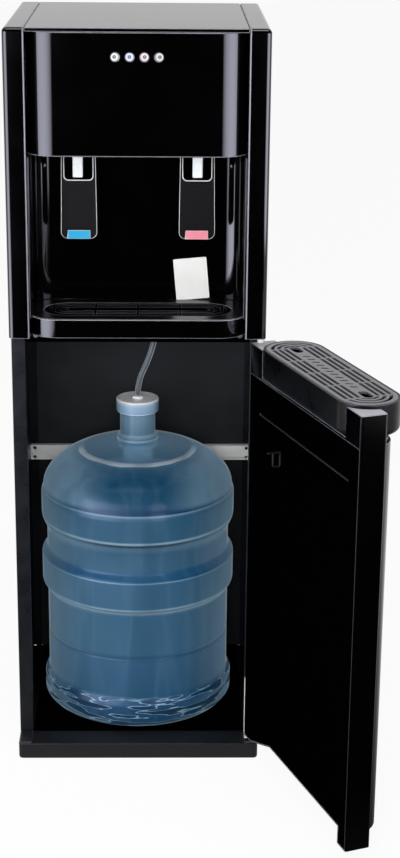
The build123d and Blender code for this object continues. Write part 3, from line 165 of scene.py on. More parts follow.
def mesh_object(name, vertices, faces, material, smooth=True):
    mesh = bpy.data.meshes.new(name)
    mesh.from_pydata([Vector(v) for v in vertices], [], faces)
    mesh.validate()
    mesh.materials.append(material)
    if smooth:
        mesh.shade_smooth()
    piece = bpy.data.objects.new(name, mesh)
    bpy.context.scene.collection.objects.link(piece)
    return piece


def softened(points):
    """Rounds the inner corners of a list of (radius, height) points."""
    # share of a side that a corner may take, its steps and its longest reach
    cut, steps, longest = 0.35, 4, 0.006
    rounded = [points[0]]
    for before, corner, after in zip(points, points[1:], points[2:]):
        a, b, c = Vector(before), Vector(corner), Vector(after)
        reach = min(cut * (a - b).length, cut * (c - b).length, longest)
        start = b + (a - b).normalized() * reach
        end = b + (c - b).normalized() * reach
        for step in range(steps + 1):
            t = step / steps
            rounded.append(tuple(start.lerp(b, t).lerp(b.lerp(end, t), t)))
    rounded.append(points[-1])
    return rounded


def lathe(name, profile, centre, material, segments, radius_at):
    """Turns (radius, height) points round an upright axis. radius_at varies a radius with the angle."""
    vertices = []
    faces = []
    for radius, height in profile:
        for k in range(segments):
            angle = 2 * math.pi * k / segments
            r = radius_at(radius, height, angle)
            vertices.append((centre[0] + r * math.cos(angle), centre[1] + r * math.sin(angle), height))
    for ring in range(len(profile) - 1):
        for k in range(segments):
            nxt = (k + 1) % segments
            low, high = ring * segments, (ring + 1) * segments
            faces.append((low + k, low + nxt, high + nxt, high + k))
    return mesh_object(name, vertices, faces, material)


# ------------------------ finishes
def moulded(name, low, high, roughness, specular=0.5, grain=0.6, ripple=24, texture=0.01, metallic=0.0):
    """Moulding or paint: slight tone drift, a faint ripple and a fine grain. Sizes are in millimetres."""
    material, add, place = new_material(name)
    base, wide = two_tones(add, place, ripple, low, high)
    relief = textured(add, place, grain, 0.25, texture)
    ends = {"To Min": roughness * 0.85, "To Max": roughness * 1.15}
    rough = add("MapRange", {"Value": (wide, "Fac"), **MIDDLE, **ends})
    return surfaced(material, add, {
        "Base Color": (base, "Result"),
        "Metallic": metallic,
        "Roughness": (rough, "Result"),
        "Specular IOR Level": specular,
        "Normal": (relief, "Normal"),
    })


def metal(name, low, high, roughness, stretch=(1, 1, 1)):
    """Bare or plated metal: spangle or brushing, with the roughness following it."""
    material, add, place = new_material(name)
    base = two_tones(add, place, 9, low, high)[0]
    mapping = add("Mapping", {"Vector": (place, "Object"), "Scale": stretch})
    fine = add("TexNoise", {"Vector": (mapping, "Vector"), "Scale": per_mm(1), "Detail": 5.0})
    ends = {"To Min": roughness * 0.7, "To Max": roughness * 1.3}
    rough = add("MapRange", {"Value": (fine, "Fac"), **MIDDLE, **ends})
    relief = add("Bump", {"Height": (fine, "Fac"), "Strength": 0.3, "Distance": mm(0.01)})
    return surfaced(material, add, {
        "Base Color": (base, "Result"),
        "Metallic": 1.0,
        "Roughness": (rough, "Result"),
        "Normal": (relief, "Normal"),
    })


GLOSS_BLACK = ("#010101", "#020203", 0.09)


def black_with_top(name, height, low, high, roughness, sides=GLOSS_BLACK):
    """Black moulding whose upward faces above a height have a tone and a roughness of their own; a pale tone there is
    a painted reflection.
    """
    material, add, place = new_material(name)
    black, wide = two_tones(add, place, 45, sides[0], sides[1])
    relief = textured(add, place, 0.6, 0.25, 0.0003)
    facing = add("SeparateXYZ", {"Vector": (place, "Normal")})
    axes = add("SeparateXYZ", {"Vector": (place, "Object")})
    upward = add("MapRange", {"Value": (facing, "Z"), **span(0.90, 0.97)}, **SMOOTH)
    high_up = add("MapRange", {"Value": (axes, "Z"), **span(height - mm(2), height - mm(1))}, **SMOOTH)
    top = add("Math", {0: (upward, "Result"), 1: (high_up, "Result")}, **TIMES)
    # the top's tone: on the door it is pale grey, a painted reflection
    own = add("Mix", {"Factor": (wide, "Fac"), "A": low, "B": high}, **COLOURS)
    base = add("Mix", {"Factor": (top, "Value"), "A": (black, "Result"), "B": (own, "Result")}, **COLOURS)
    rough = add("MapRange", {"Value": (top, "Value"), "To Min": sides[2], "To Max": roughness}, **SMOOTH)
    return surfaced(material, add, {
        "Base Color": (base, "Result"),
        "Roughness": (rough, "Result"),
        "Specular IOR Level": 0.5,
        "Normal": (relief, "Normal"),
    })


# the taps, in metres: their distance from the middle, the paddle's half width and the top of its rounded foot,
# and the window's half width and lower edge without the radius of its corners
TAP_OFFSET = 0.076
PAD_HALF = 0.0199
PAD_FOOT = 0.7290
WINDOW_HALF = 0.013
WINDOW_FOOT = 0.802
WINDOW_CORNER = 0.005


def finish_tap_black():
    # satin black moulding of the taps, with a pale rim painted round each paddle and its window as a painted highlight
    material, add, place = new_material("satin_black_tap")
    black = two_tones(add, place, 24, "#040404", "#080707")[0]
    relief = textured(add, place, 0.6, 0.25, 0.008)
    facing = add("SeparateXYZ", {"Vector": (place, "Normal")})
    axes = add("SeparateXYZ", {"Vector": (place, "Object")})
    turned = add("MapRange", {"Value": (facing, "Y"), **span(-0.99, -0.93)}, **SMOOTH)
    not_side = add("MapRange", {"Value": (facing, "Y"), **span(-0.15, -0.30)}, **SMOOTH)
    reach = add("Math", {0: (axes, "X")}, **UNSIGNED)
    off = add("Math", {0: (reach, "Value"), 1: TAP_OFFSET}, **MINUS)
    off = add("Math", {0: (off, "Value")}, **UNSIGNED)
    outer = add("MapRange", {"Value": (off, "Value"), **span(PAD_HALF - mm(0.4), PAD_HALF)}, **SMOOTH)
    foot = add("MapRange", {"Value": (axes, "Z"), **span(PAD_FOOT, PAD_FOOT - mm(1))}, **SMOOTH)
    where = add("Math", {0: (outer, "Result"), 1: (foot, "Result")}, **LARGER)
    rim = add("Math", {0: (turned, "Result"), 1: (not_side, "Result")}, **TIMES)
    rim = add("Math", {0: (rim, "Value"), 1: (where, "Value")}, **TIMES)
    # the painted highlight on the window's lip: a line that keeps one distance from a rectangle with round lower
    # corners
    sideways = add("Math", {0: (off, "Value"), 1: WINDOW_HALF}, **MINUS)
    sideways = add("Math", {0: (sideways, "Value"), 1: 0.0}, **LARGER)
    down = add("Math", {0: WINDOW_FOOT, 1: (axes, "Z")}, **MINUS)
    down = add("Math", {0: (down, "Value"), 1: 0.0}, **LARGER)
    corner = add("CombineXYZ", {"X": (sideways, "Value"), "Y": (down, "Value")})
    distance = add("VectorMath", {0: (corner, "Vector")}, operation="LENGTH")
    ends = span(WINDOW_CORNER + mm(1.4), WINDOW_CORNER + mm(1))
    lip = add("MapRange", {"Value": (distance, "Value"), **ends}, **SMOOTH)
    lip = add("Math", {0: (lip, "Result"), 1: (not_side, "Result")}, **TIMES)
    rim = add("Math", {0: (rim, "Value"), 1: (lip, "Value")}, **LARGER)
    # the rim and the lip are painted pale grey: painted highlight lines
    base = add("Mix", {"Factor": (rim, "Value"), "A": (black, "Result"), "B": "#E2E4E6"}, **COLOURS)
    return surfaced(material, add, {
        "Base Color": (base, "Result"),
        "Roughness": 0.32,
        "Specular IOR Level": 0.25,
        "Normal": (relief, "Normal"),
    })


def tag_plastic(name, setting):
    """Satin plastic in a colour of the settings, with a slight drift to a paler tone."""
    paint = getattr(bpy.context.scene.cooler_studio, setting)
    paler = [min(1.0, channel * 1.08) for channel in paint]
    return moulded(name, [*paint, 1.0], [*paler, 1.0], 0.35, texture=0.004)


def finish_cap():
    # half clear white moulding: pale grey on top, bluish where the neck shows through its skirt
    material, add, place = new_material("half_clear_white_plastic")
    relief = textured(add, place, 0.7, 0.2, 0.006)
    axes = add("SeparateXYZ", {"Vector": (place, "Object")})
    top = add("MapRange", {"Value": (axes, "Z"), **span(0.4685, 0.4705)}, **SMOOTH)
    stops = [(0.452, "#C4D3E0"), (0.4545, "#7FA0BF"), (0.464, "#8CA9C6"), (0.4685, "#B4C0CC")]
    skirt = tone_bands(add, axes, "Z", stops)
    lid = two_tones(add, place, 12, "#ECEEF0", "#F6F7F8")[0]
    base = add("Mix", {"Factor": (top, "Result"), "A": (skirt, "Color"), "B": (lid, "Result")}, **COLOURS)
    return surfaced(material, add, {
        "Base Color": (base, "Result"),
        "Roughness": 0.3,
        "Specular IOR Level": 0.5,
        "Normal": (relief, "Normal"),
    })


LENS_TONES = ("#D0D0D0", "#C0C8E0", "#D2C4C7", "#C0C0C0")
# distances in metres from a lens's middle
LENS_RINGS = (
    (0.0, "#B4B4B8"), (0.0006, "#D0D0D4"), (0.0011, "#4A4A50"), (0.0020, "#4A4A50"), (0.0025, "#FFFFFF"),
    (0.0042, "#FFFFFF"), (0.0050, "#A4A4A8"),
)


def finish_lens():
    # frosted lenses lit from behind, each in a tone of its own, with a plain ring and dot moulded in
    material, add, place = new_material("frosted_clear_plastic")
    low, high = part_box("indicator_lenses")
    left, right = low[0], high[0]
    middle = (low[2] + high[2]) / 2
    across_lens = mm(10)
    pitch = (right - left - across_lens) / 3
    relief = textured(add, place, 0.5, 0.3, 0.01)
    axes = add("SeparateXYZ", {"Vector": (place, "Object")})
    stops = [(left, LENS_TONES[0])]
    for k, (tone, following) in enumerate(zip(LENS_TONES, LENS_TONES[1:])):
        stops += [(left + k * pitch + across_lens, tone), (left + k * pitch + mm(16), following)]
    stops.append((right, LENS_TONES[-1]))
    tones = tone_bands(add, axes, "X", stops)
    # distance from the middle of the nearest lens
    across = add("Math", {0: (axes, "X"), 1: left + across_lens / 2 - pitch / 2}, **MINUS)
    wrapped = add("Math", {0: (across, "Value"), 1: pitch}, operation="MODULO")
    side = add("Math", {0: (wrapped, "Value"), 1: pitch / 2}, **MINUS)
    rise = add("Math", {0: (axes, "Z"), 1: middle + mm(0.3)}, **MINUS)
    local = add("CombineXYZ", {"X": (side, "Value"), "Y": (rise, "Value")})
    reach = add("VectorMath", {0: (local, "Vector")}, operation="LENGTH")
    ring = tone_bands(add, reach, "Value", LENS_RINGS)
    shades = {"Factor": 1.0, "A": (tones, "Color"), "B": (ring, "Color")}
    glow = add("Mix", shades, blend_type="MULTIPLY", **COLOURS)
    return surfaced(material, add, {
        "Base Color": (glow, "Result"),
        "Roughness": 0.3,
        "Normal": (relief, "Normal"),
        "Emission Color": (glow, "Result"),
        "Emission Strength": 0.15,
    })


# heights in metres and colours of the filled bottle: foot, body, the edges of its two bands, dome; the pale and dark
# lines at the foot and at the bands' edges are painted highlights and painted shade
BOTTLE_TONES = (
    (0.0230, "#BFD3DE"), (0.0252, "#0E3A58"), (0.0330, "#123E5C"), (0.0640, "#16446A"), (0.0760, "#255272"),
    (0.1250, "#31597A"), (0.1275, "#254F70"), (0.1330, "#28536F"), (0.1370, "#345F7D"), (0.1990, "#365F7C"),
    (0.2005, "#0C2436"), (0.2040, "#0A2032"), (0.2050, "#86A6BA"), (0.2066, "#7F9FB4"), (0.2080, "#375F7C"),
    (0.2450, "#345C79"), (0.2460, "#6E93AB"), (0.2475, "#17486B"), (0.2570, "#1C4D70"), (0.2600, "#365D79"),
    (0.2970, "#335975"), (0.2990, "#0C2436"), (0.3022, "#0C2436"), (0.3032, "#8FADBF"), (0.3050, "#7F9FB3"),
    (0.3065, "#2E5873"), (0.3415, "#2A5370"), (0.3428, "#7E9FB4"), (0.3445, "#0A3355"), (0.3540, "#06395B"),
    (0.3590, "#093E5A"), (0.3940, "#12496B"),
)
# above the body: the top of the dome, the collar and the clear neck; the pale lines at the collar are painted
# highlights
NECK_TONES = (
    (0.3940, "#12496B"), (0.3990, "#336A8E"), (0.4108, "#44789A"), (0.4150, "#A9C3D2"), (0.4165, "#3F6E8C"),
    (0.4200, "#A2BCCB"), (0.4230, "#5C8199"), (0.4400, "#7797AB"), (0.4680, "#86A6BA"),
)
# x of the bottle's axis
BOTTLE_MIDDLE = -0.0025


def finish_bottle():
    # clear blue polycarbonate full of water: deep blue where it holds water, paler and clearer above the water line
    # and in the neck, grey-white at its turning edges as a painted reflection, with painted highlight and shade lines,
    # and wavy refractions in the thick foot
    material, add, place = new_material("clear_blue_polycarbonate")
    axes = add("SeparateXYZ", {"Vector": (place, "Object")})
    relief = textured(add, place, 22, 0.10, 0.4, detail=2.0)
    body_rings = tone_bands(add, axes, "Z", BOTTLE_TONES)
    neck_rings = tone_bands(add, axes, "Z", NECK_TONES)
    above = add("MapRange", {"Value": (axes, "Z"), **span(0.3938, 0.3942)}, **SMOOTH)
    halves = {"Factor": (above, "Result"), "A": (body_rings, "Color"), "B": (neck_rings, "Color")}
    body = add("Mix", halves, **COLOURS)
    # the water line is a pale crescent on the front of the dome, of uneven width: a painted reflection of light on the
    # water's surface
    uneven = add("TexNoise", {"Vector": (place, "Object"), "Scale": per_mm(60)})
    drift = add("MapRange", {"Value": (uneven, "Fac"), **MIDDLE, "To Min": mm(-0.7), "To Max": mm(0.7)})
    level = add("Math", {0: (axes, "Z"), 1: (drift, "Result")}, **PLUS)
    rise = add("MapRange", {"Value": (level, "Value"), **span(0.3966, 0.3971)}, **SMOOTH)
    fall = add("MapRange", {"Value": (axes, "Z"), **span(0.4000, 0.3990)}, **SMOOTH)
    front = add("MapRange", {"Value": (axes, "Y"), **span(0.0250, -0.0050, 0.9)}, **SMOOTH)
    line = add("Math", {0: (rise, "Result"), 1: (fall, "Result")}, **TIMES)
    line = add("Math", {0: (line, "Value"), 1: (front, "Result")}, **TIMES)
    # the sides of the dome are paler: partly less water behind them, partly a painted highlight of the side lights
    aside = add("Math", {0: (axes, "X"), 1: BOTTLE_MIDDLE}, **MINUS)
    aside = add("Math", {0: (aside, "Value")}, **UNSIGNED)
    shoulder = add("MapRange", {"Value": (aside, "Value"), **span(0.030, 0.105, 0.60)}, **SMOOTH)
    dome = add("MapRange", {"Value": (axes, "Z"), **span(0.3440, 0.3520)}, **SMOOTH)
    below = add("MapRange", {"Value": (axes, "Z"), **span(0.3970, 0.3900)}, **SMOOTH)
    pale = add("Math", {0: (shoulder, "Result"), 1: (dome, "Result")}, **TIMES)
    pale = add("Math", {0: (pale, "Value"), 1: (below, "Result")}, **TIMES)
    # refractions: long upright streaks in the body
    streaks, streak_field = veins(add, place, 34, (1, 1, 0.14), 0.09)
    faint = add("Math", {0: (streaks, "Result"), 1: 0.04}, **TIMES)
    shade = add("MapRange", {"Value": (streak_field, "Fac"), **span(0.50, 0.70, 0.35)}, **SMOOTH)
    # paler where the wall turns away, with a pale rim at its edge: painted reflection
    edge = add("LayerWeight", {"Blend": 0.5})
    turning = add("MapRange", {"Value": (edge, "Facing"), **span(0.14, 0.78, 0.55)}, **SMOOTH)
    rim = add("MapRange", {"Value": (edge, "Facing"), **span(0.80, 0.92, 0.8)}, **SMOOTH)
    # flat waves in the foot
    waves, wave_field = veins(add, place, 20, (0.38, 0.38, 2.6), 0.022)
    foot = add("MapRange", {"Value": (axes, "Z"), **span(0.0730, 0.0640)}, **SMOOTH)
    deep = add("MapRange", {"Value": (wave_field, "Fac"), **span(0.52, 0.56, 0.85)}, **SMOOTH)
    in_foot = add("Math", {0: (deep, "Result"), 1: (foot, "Result")}, **TIMES)
    lines = add("Math", {0: (waves, "Result"), 1: (foot, "Result")}, **TIMES)
    lines = add("Math", {0: (lines, "Value"), 1: 0.62}, **TIMES)
    # each over the one before it; the water line, shoulders, turning wall and rim are painted reflections and
    # highlights
    layers = (
        (line, "#C2CBD0"), (pale, "#7DA0B8"), (faint, "#86A9C0"), (shade, "#16425F"), (turning, "#86A5BA"),
        (rim, "#AEB9BF"), (in_foot, "#0B2F49"), (lines, "#A9CADB"),
    )
    for layer, code in layers:
        body = add("Mix", {"Factor": (layer, 0), "A": (body, "Result"), "B": code}, **COLOURS)
    # a painted glow: emission stands in for light carried through the water, which brightens the turning wall
    carried = add("MapRange", {"Value": (edge, "Facing"), **span(0.30, 0.90)}, **SMOOTH)
    glow = add("Mix", {"Factor": (carried, "Result"), "A": "#000000", "B": (body, "Result")}, **COLOURS)
    solid = add("BsdfPrincipled", {
        "Base Color": (body, "Result"),
        "Roughness": 0.4,
        "Specular IOR Level": 0.2,
        "Coat Weight": 0.1,
        "Coat Roughness": 0.2,
        "Normal": (relief, "Normal"),
        "Emission Color": (glow, "Result"),
        "Emission Strength": 0.45,
    })
    clear = add("BsdfPrincipled", {
        "Base Color": "#9FC3DE",
        "Roughness": 0.02,
        "IOR": 1.2,
        "Transmission Weight": 1.0,
        "Normal": (relief, "Normal"),
    })
    ends = {**span(0.3970, 0.4000, 0.40), "To Min": 0.12}
    clearness = add("MapRange", {"Value": (axes, "Z"), **ends}, **SMOOTH)
    blend = add("MixShader", {"Fac": (clearness, "Result"), 1: (solid, "BSDF"), 2: (clear, "BSDF")})
    add("OutputMaterial", {"Surface": (blend, "Shader")})
    return material


def finish_hose():
    # clear silicone hose: dark in its middle, with a painted highlight line along each side
    material, add, place = new_material("clear_silicone")
    relief = textured(add, place, 2, 0.1, 0.02, detail=2.0)
    edge = add("LayerWeight", {"Blend": 0.5})
    side = add("MapRange", {"Value": (edge, "Facing"), **span(0.25, 0.55)}, **SMOOTH)
    base = add("Mix", {"Factor": (side, "Result"), "A": "#6A747D", "B": "#F0F3F5"}, **COLOURS)
    return surfaced(material, add, {
        "Base Color": (base, "Result"),
        "Roughness": 0.15,
        "Transmission Weight": 0.35,
        "IOR": 1.41,
        "Normal": (relief, "Normal"),
    })


FINISHES = {
    # high gloss black moulding: deep black that only shows the studio's softboxes
    "gloss_black_plastic": partial(moulded, "gloss_black_plastic", *GLOSS_BLACK, ripple=45, texture=0.0003),
    # fine grained black moulding of the door's inside: almost no gloss
    "inner_black": partial(moulded, "grained_black_plastic", "#010101", "#020202", 0.5, specular=0.0, texture=0.006),
    # fine satin black moulding of the drip tray, with only a soft gloss
    "tray_black": partial(moulded, "satin_tray_plastic", "#020202", "#040405", 0.3, specular=0.2, texture=0.003),
    # satin black grille painted mid grey: a painted reflection where its bars catch the light
    "grille_black": partial(moulded, "satin_black_grille", "#4A4A50", "#58585E", 0.14, specular=1.0, texture=0.002),
    # satin black moulding of the switches and inlet, brown-black where light grazes it
    "black_moulding": partial(moulded, "satin_black_plastic", "#10100F", "#171615", 0.32, texture=0.008),
    # satin black powder paint on sheet steel, with a faint orange peel
    "black_painted_steel": partial(
        moulded, "satin_black_paint", "#0F1012", "#15161A", 0.3, specular=0.4, grain=1.6, texture=0.004
    ),
    # dark grey paint of the bay's rear wall
    "rear_paint": partial(
        moulded, "dark_grey_paint", "#1D1F20", "#232526", 0.45, specular=0.3, grain=1.6, texture=0.004
    ),
    # pale grey painted on the rounded edges of a black moulding: a painted highlight that draws a thin pale line
    "edge": partial(moulded, "buffed_plastic_edge", "#707078", "#7E7E86", 0.3, texture=0.002),
    # edges deep in the shade: a fainter painted highlight, a faint grey line
    "dim_edge": partial(moulded, "dull_plastic_edge", "#2E2E33", "#38383D", 0.35, specular=0.4, texture=0.002),
    # painted highlight on the rim of the taps' tags, the brightest line on the front
    "bright_edge": partial(moulded, "polished_plastic_rim", "#C9CBCE", "#D6D8DA", 0.25, specular=0.6, texture=0.002),
    # white edge of the half clear cap
    "cap_edge": partial(moulded, "white_plastic_edge", "#D9DCE0", "#E6E8EA", 0.3, texture=0.002),
    # zinc plated strip: pale dull grey with soft spangle, too rough to mirror the black bay round it
    "galvanised_steel": partial(
        moulded, "zinc_plated_steel", "#E3E3E1", "#F2F2F0", 0.5, specular=0.8, grain=1.2, ripple=9, metallic=0.1
    ),
    # dull zinc plated screw heads
    "screw": partial(metal, "dull_zinc_plating", "#6C6D70", "#78797C", 0.5),
    # brushed stainless tank, brushed round
    "stainless_steel": partial(metal, "brushed_stainless_steel", "#B5B7BA", "#C8CACC", 0.28, stretch=(1, 1, 12)),
    # bare extruded aluminium with lengthwise draw lines
    "bare_aluminium": partial(metal, "extruded_aluminium", "#C6C8CB", "#D4D6D8", 0.35, stretch=(8, 8, 1)),
    # off-white ceramic and board faces
    "ceramic_and_board": partial(moulded, "matte_ceramic", "#D8D6CC", "#E2E0D8", 0.6),
    # smooth white moulding, a little cool
    "white_plastic": partial(moulded, "smooth_white_plastic", "#DDE3E8", "#EAEEF1", 0.28, texture=0.004),
    # matte black rubber
    "soft_rubber": partial(moulded, "matte_black_rubber", "#101010", "#191919", 0.7, specular=0.3, texture=0.03),
    # cut polyethylene foam with open cells
    "foam": partial(moulded, "cut_white_foam", "#D9D3C2", "#E6E1D3", 0.85, specular=0.2, grain=1.4, texture=0.3),
    # grey painted steel case
    "power_case": partial(moulded, "grey_painted_steel", "#56585A", "#606264", 0.4),
    # matte white card
    "card": partial(moulded, "matte_white_card", "#E9E9E7", "#F3F3F1", 0.6, specular=0.3),
    # gloss black shelf whose top is fine grained, so nothing mirrors in it
    "shelf_black": partial(
        black_with_top, "gloss_black_shelf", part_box("shelf")[0][2] + mm(10), "#010101", "#020202", 0.3
    ),
    # gloss black door frame whose narrow top is satin and painted pale grey: a painted reflection of the pale room
    "door_black": partial(black_with_top, "gloss_black_door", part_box("door_frame")[1][2], "#A4A4AC", "#ADADB5", 0.4),
    # satin black moulding of the foot, a shade paler than the gloss above it
    "base_black": partial(
        black_with_top, "satin_black_base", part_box("base_tray")[0][2], "#010101", "#020202", 0.5,
        sides=("#101012", "#151518", 0.33),
    ),
    # bright cyan tag, soft pink tag
    "blue_plastic": partial(tag_plastic, "bright_blue_plastic", "cold_tag"),
    "pink_plastic": partial(tag_plastic, "soft_pink_plastic", "hot_tag"),
    "tap_black": finish_tap_black,
    "cap": finish_cap,
    "frosted_lens": finish_lens,
    "blue_bottle": finish_bottle,
    "clear_hose": finish_hose,
}


@cache
def finish(slot):
    """The material of a slot, made when it is first asked for."""
    return FINISHES[slot]()


# ------------------------ settings
class CoolerStudioSettings(bpy.types.PropertyGroup):
    """Sizes, colours and light levels of the dressed cooler."""

    edge_rounding: bpy.props.FloatProperty(
        name="Edge rounding",
        description="Radius of the moulded edges of the plastic covers",
        default=0.0008,
        unit="LENGTH",
    )
    hose_diameter: bpy.props.FloatProperty(
        name="Hose diameter",
        description="Outside diameter of the water hoses",
        default=0.008,
        unit="LENGTH",
    )
    card_width: bpy.props.FloatProperty(
        name="Card width",
        description="Width of the blank card on the recess's back wall",
        default=0.044,
        unit="LENGTH",
    )
    cold_tag: bpy.props.FloatVectorProperty(
        name="Cold tag",
        description="Colour of the cold tap's tag",
        default=colour("#129DCC")[:3],
        subtype="COLOR",
        min=0.0,
        max=1.0,
    )
    hot_tag: bpy.props.FloatVectorProperty(
        name="Hot tag",
        description="Colour of the hot tap's tag",
        default=colour("#DC7F90")[:3],
        subtype="COLOR",
        min=0.0,
        max=1.0,
    )
    lens: bpy.props.FloatProperty(
        name="Lens",
        description="Focal length of the camera",
        default=0.07706,
        unit="LENGTH",
    )
    key_power: bpy.props.FloatProperty(
        name="Key power",
        description="Power of the large soft light in front",
        default=14.0,
        unit="POWER",
    )
    side_power: bpy.props.FloatProperty(
        name="Side power",
        description="Power of a side light one metre tall",
        default=36.0,
        unit="POWER",
    )
    overhead_power: bpy.props.FloatProperty(
        name="Overhead power",
        description="Power of the overhead light",
        default=14.0,
        unit="POWER",
    )
    fill_power: bpy.props.FloatProperty(
        name="Fill power",
        description="Power of the light beside the camera, which reaches into the bay",
        default=48.0,
        unit="POWER",
    )


# ------------------------ camera and stage
class COOLER_OT_camera(bpy.types.Operator):
    """Place the camera that matches the photograph's view."""

    bl_idname = "cooler.camera"
    bl_label = "Camera"

    PLACE = (0.03198, -2.43031, 1.24141)
    # degrees: to the right, below the horizon, about its own axis
    TURN, DIP, ROLL = -1.242, 18.492, 0.543

    def execute(self, context):
        settings = context.scene.cooler_studio
        data = bpy.data.cameras.new("studio_camera")
        data.sensor_fit = "VERTICAL"
        data.sensor_height = 36
        data.lens = settings.lens * 1000
        data.clip_end = 50
        camera = bpy.data.objects.new("studio_camera", data)
        context.scene.collection.objects.link(camera)
        turn = Matrix.Rotation(math.radians(self.TURN), 4, "Z")
        tilt = Matrix.Rotation(math.radians(90 - self.DIP), 4, "X")
        roll = Matrix.Rotation(math.radians(self.ROLL), 4, "Z")
        camera.matrix_world = Matrix.Translation(self.PLACE) @ turn @ tilt @ roll
        context.scene.camera = camera
        return {"FINISHED"}


def softbox(name, place, target, size, power, hue="#FFFFFF", glossy=True, diffuse=True, soft_edge=False):
    """Rectangular light that faces its target and never shows itself to the camera."""
    data = bpy.data.lights.new(name, "AREA")
    data.shape = "RECTANGLE"
    data.size, data.size_y = size
    data.energy = power
    data.color = colour(hue)[:3]
    if soft_edge:
        # brightness falls off from the middle to both upright edges, where a little of it is left
        data.use_nodes = True
        tree = data.node_tree
        add = partial(add_node, tree)
        face = add("NewGeometry")
        axes = add("SeparateXYZ", {"Vector": (face, "Parametric")})
        rest = add("Math", {0: 1.0, 1: (axes, "X")}, **MINUS)
        hump = add("Math", {0: (axes, "X"), 1: (rest, "Value")}, **TIMES)
        whole = add("Math", {0: (hump, "Value"), 1: 4.0}, **TIMES)
        bell = add("Math", {0: (whole, "Value"), 1: 1.2}, operation="POWER")
        level = add("Math", {0: (bell, "Value"), 1: 1.66, 2: 0.34}, operation="MULTIPLY_ADD")
        tree.links.new(level.outputs["Value"], tree.nodes["Emission"].inputs["Strength"])
    light = bpy.data.objects.new(name, data)
    bpy.context.scene.collection.objects.link(light)
    light.location = place
    light.rotation_euler = (Vector(target) - Vector(place)).to_track_quat("-Z", "Y").to_euler()
    light.visible_camera = False
    light.visible_glossy = glossy
    light.visible_diffuse = diffuse
    light.visible_transmission = glossy


class COOLER_OT_stage(bpy.types.Operator):
    """Build the pale floor, the white surround and the soft lights."""

    bl_idname = "cooler.stage"
    bl_label = "Stage"

    REACH = 30

    def execute(self, context):
        self.floor()
        self.surround(context)
        self.lights(context)
        context.scene.view_settings.view_transform = "Standard"
        return {"FINISHED"}

    def floor(self):
        # pale painted floor: white to the camera and behind the object, with the object's soft shadow kept
        material, add, place = new_material("pale_painted_floor")
        base = two_tones(add, place, 300, "#F6F6F6", "#FCFCFC")[0]
        paint = add("BsdfDiffuse", {"Color": (base, "Result")})
        path = add("LightPath")
        seen = add("Math", {0: (path, "Is Camera Ray"), 1: (path, "Is Transmission Ray")}, **LARGER)
        mirrored = add("Math", {0: (seen, "Value"), 1: (path, "Is Glossy Ray")}, **LARGER)
        # the camera sees a little of the paint's own shading, and gloss sees none of it
        own = add("Math", {0: (path, "Is Camera Ray"), 1: 0.08}, **TIMES)
        share = add("Math", {0: (mirrored, "Value"), 1: (own, "Value")}, **MINUS)
        axes = add("SeparateXYZ", {"Vector": (place, "Object")})
        # gloss sees the floor fall off in front of the object, out of the lights' reach
        front = add("MapRange", {"Value": (axes, "Y"), **span(-0.6, 0.5)}, **SMOOTH)
        # and pale again far out to both sides, where it lies in the side boxes' light
        left = add("MapRange", {"Value": (axes, "X"), **span(-0.9, -1.5, 0.8)}, **SMOOTH)
        right = add("MapRange", {"Value": (axes, "X"), **span(1.5, 1.9, 0.8)}, **SMOOTH)
        sides = add("Math", {0: (left, "Result"), 1: (right, "Result")}, **LARGER)
        level = add("Math", {0: (front, "Result"), 1: (sides, "Value")}, **LARGER)
        shown = add("Math", {0: (seen, "Value"), 1: (level, "Value")}, **LARGER)
        white = add("Emission", {"Color": "#FFFFFF", "Strength": (shown, "Value")})
        surface = add("MixShader", {"Fac": (share, "Value"), 1: (paint, "BSDF"), 2: (white, "Emission")})
        add("OutputMaterial", {"Surface": (surface, "Shader")})
        corners = [(x * self.REACH, y * self.REACH, 0) for x, y in ((-1, -1), (1, -1), (1, 1), (-1, 1))]
        floor = mesh_object("floor", corners, [(0, 1, 2, 3)], material, smooth=False)

    def surround(self, context):
        # white behind the object, a dim studio in front of it for what gloss shows
        world = bpy.data.worlds.new("white_studio")
        context.scene.world = world
        world.use_nodes = True
        world.node_tree.nodes.clear()
        add = partial(add_node, world.node_tree)
        place = add("TexCoord")
        axes = add("SeparateXYZ", {"Vector": (place, "Generated")})
        depth = add("MapRange", {"Value": (axes, "Y"), **span(-0.1, 0.4, 0.76)}, **SMOOTH)
        path = add("LightPath")
        mirrored = add("Math", {0: (path, "Is Glossy Ray"), 1: (path, "Is Transmission Ray")}, **LARGER)
        ambient = add("Background", {"Color": "#FFFFFF", "Strength": 0.35})
        shown = add("Background", {"Color": "#FFFFFF", "Strength": (depth, "Result")})
        white = add("Background", {"Color": "#FFFFFF", "Strength": 1.0})
        levels = {"Fac": (mirrored, "Value"), 1: (ambient, "Background"), 2: (shown, "Background")}
        unseen = add("MixShader", levels)
        levels = {"Fac": (path, "Is Camera Ray"), 1: (unseen, "Shader"), 2: (white, "Background")}
        add("OutputWorld", {"Surface": (add("MixShader", levels), "Shader")})

    def lights(self, context):
        settings = context.scene.cooler_studio
        softbox("key", (-0.5, -2.2, 2.3), (0, 0, 0.4), (1.6, 1.2), settings.key_power, glossy=False)
        softbox("fill", (-0.1, -2.7, 1.25), (0, 0, 0.4), (1.0, 0.8), settings.fill_power, glossy=False)
        # tall boxes with soft edges, half way round to both sides, draw the bands on the curved ends
        for name, side, height, rise in (("side_box_left", -1, 0.66, 1.2), ("side_box_right", 1, 0.80, 0.9)):
            softbox(
                name, (side * 1.28, -1.30, height), (side * 0.1, -0.12, height - 0.1), (2.45, rise),
                settings.side_power * rise, "#DCDDF2", diffuse=False, soft_edge=True,
            )
        # overhead box, seen in the rounded front edges
        softbox("overhead", (0, -0.5, 2.3), (0, -0.3, 0), (1.6, 0.25), settings.overhead_power)


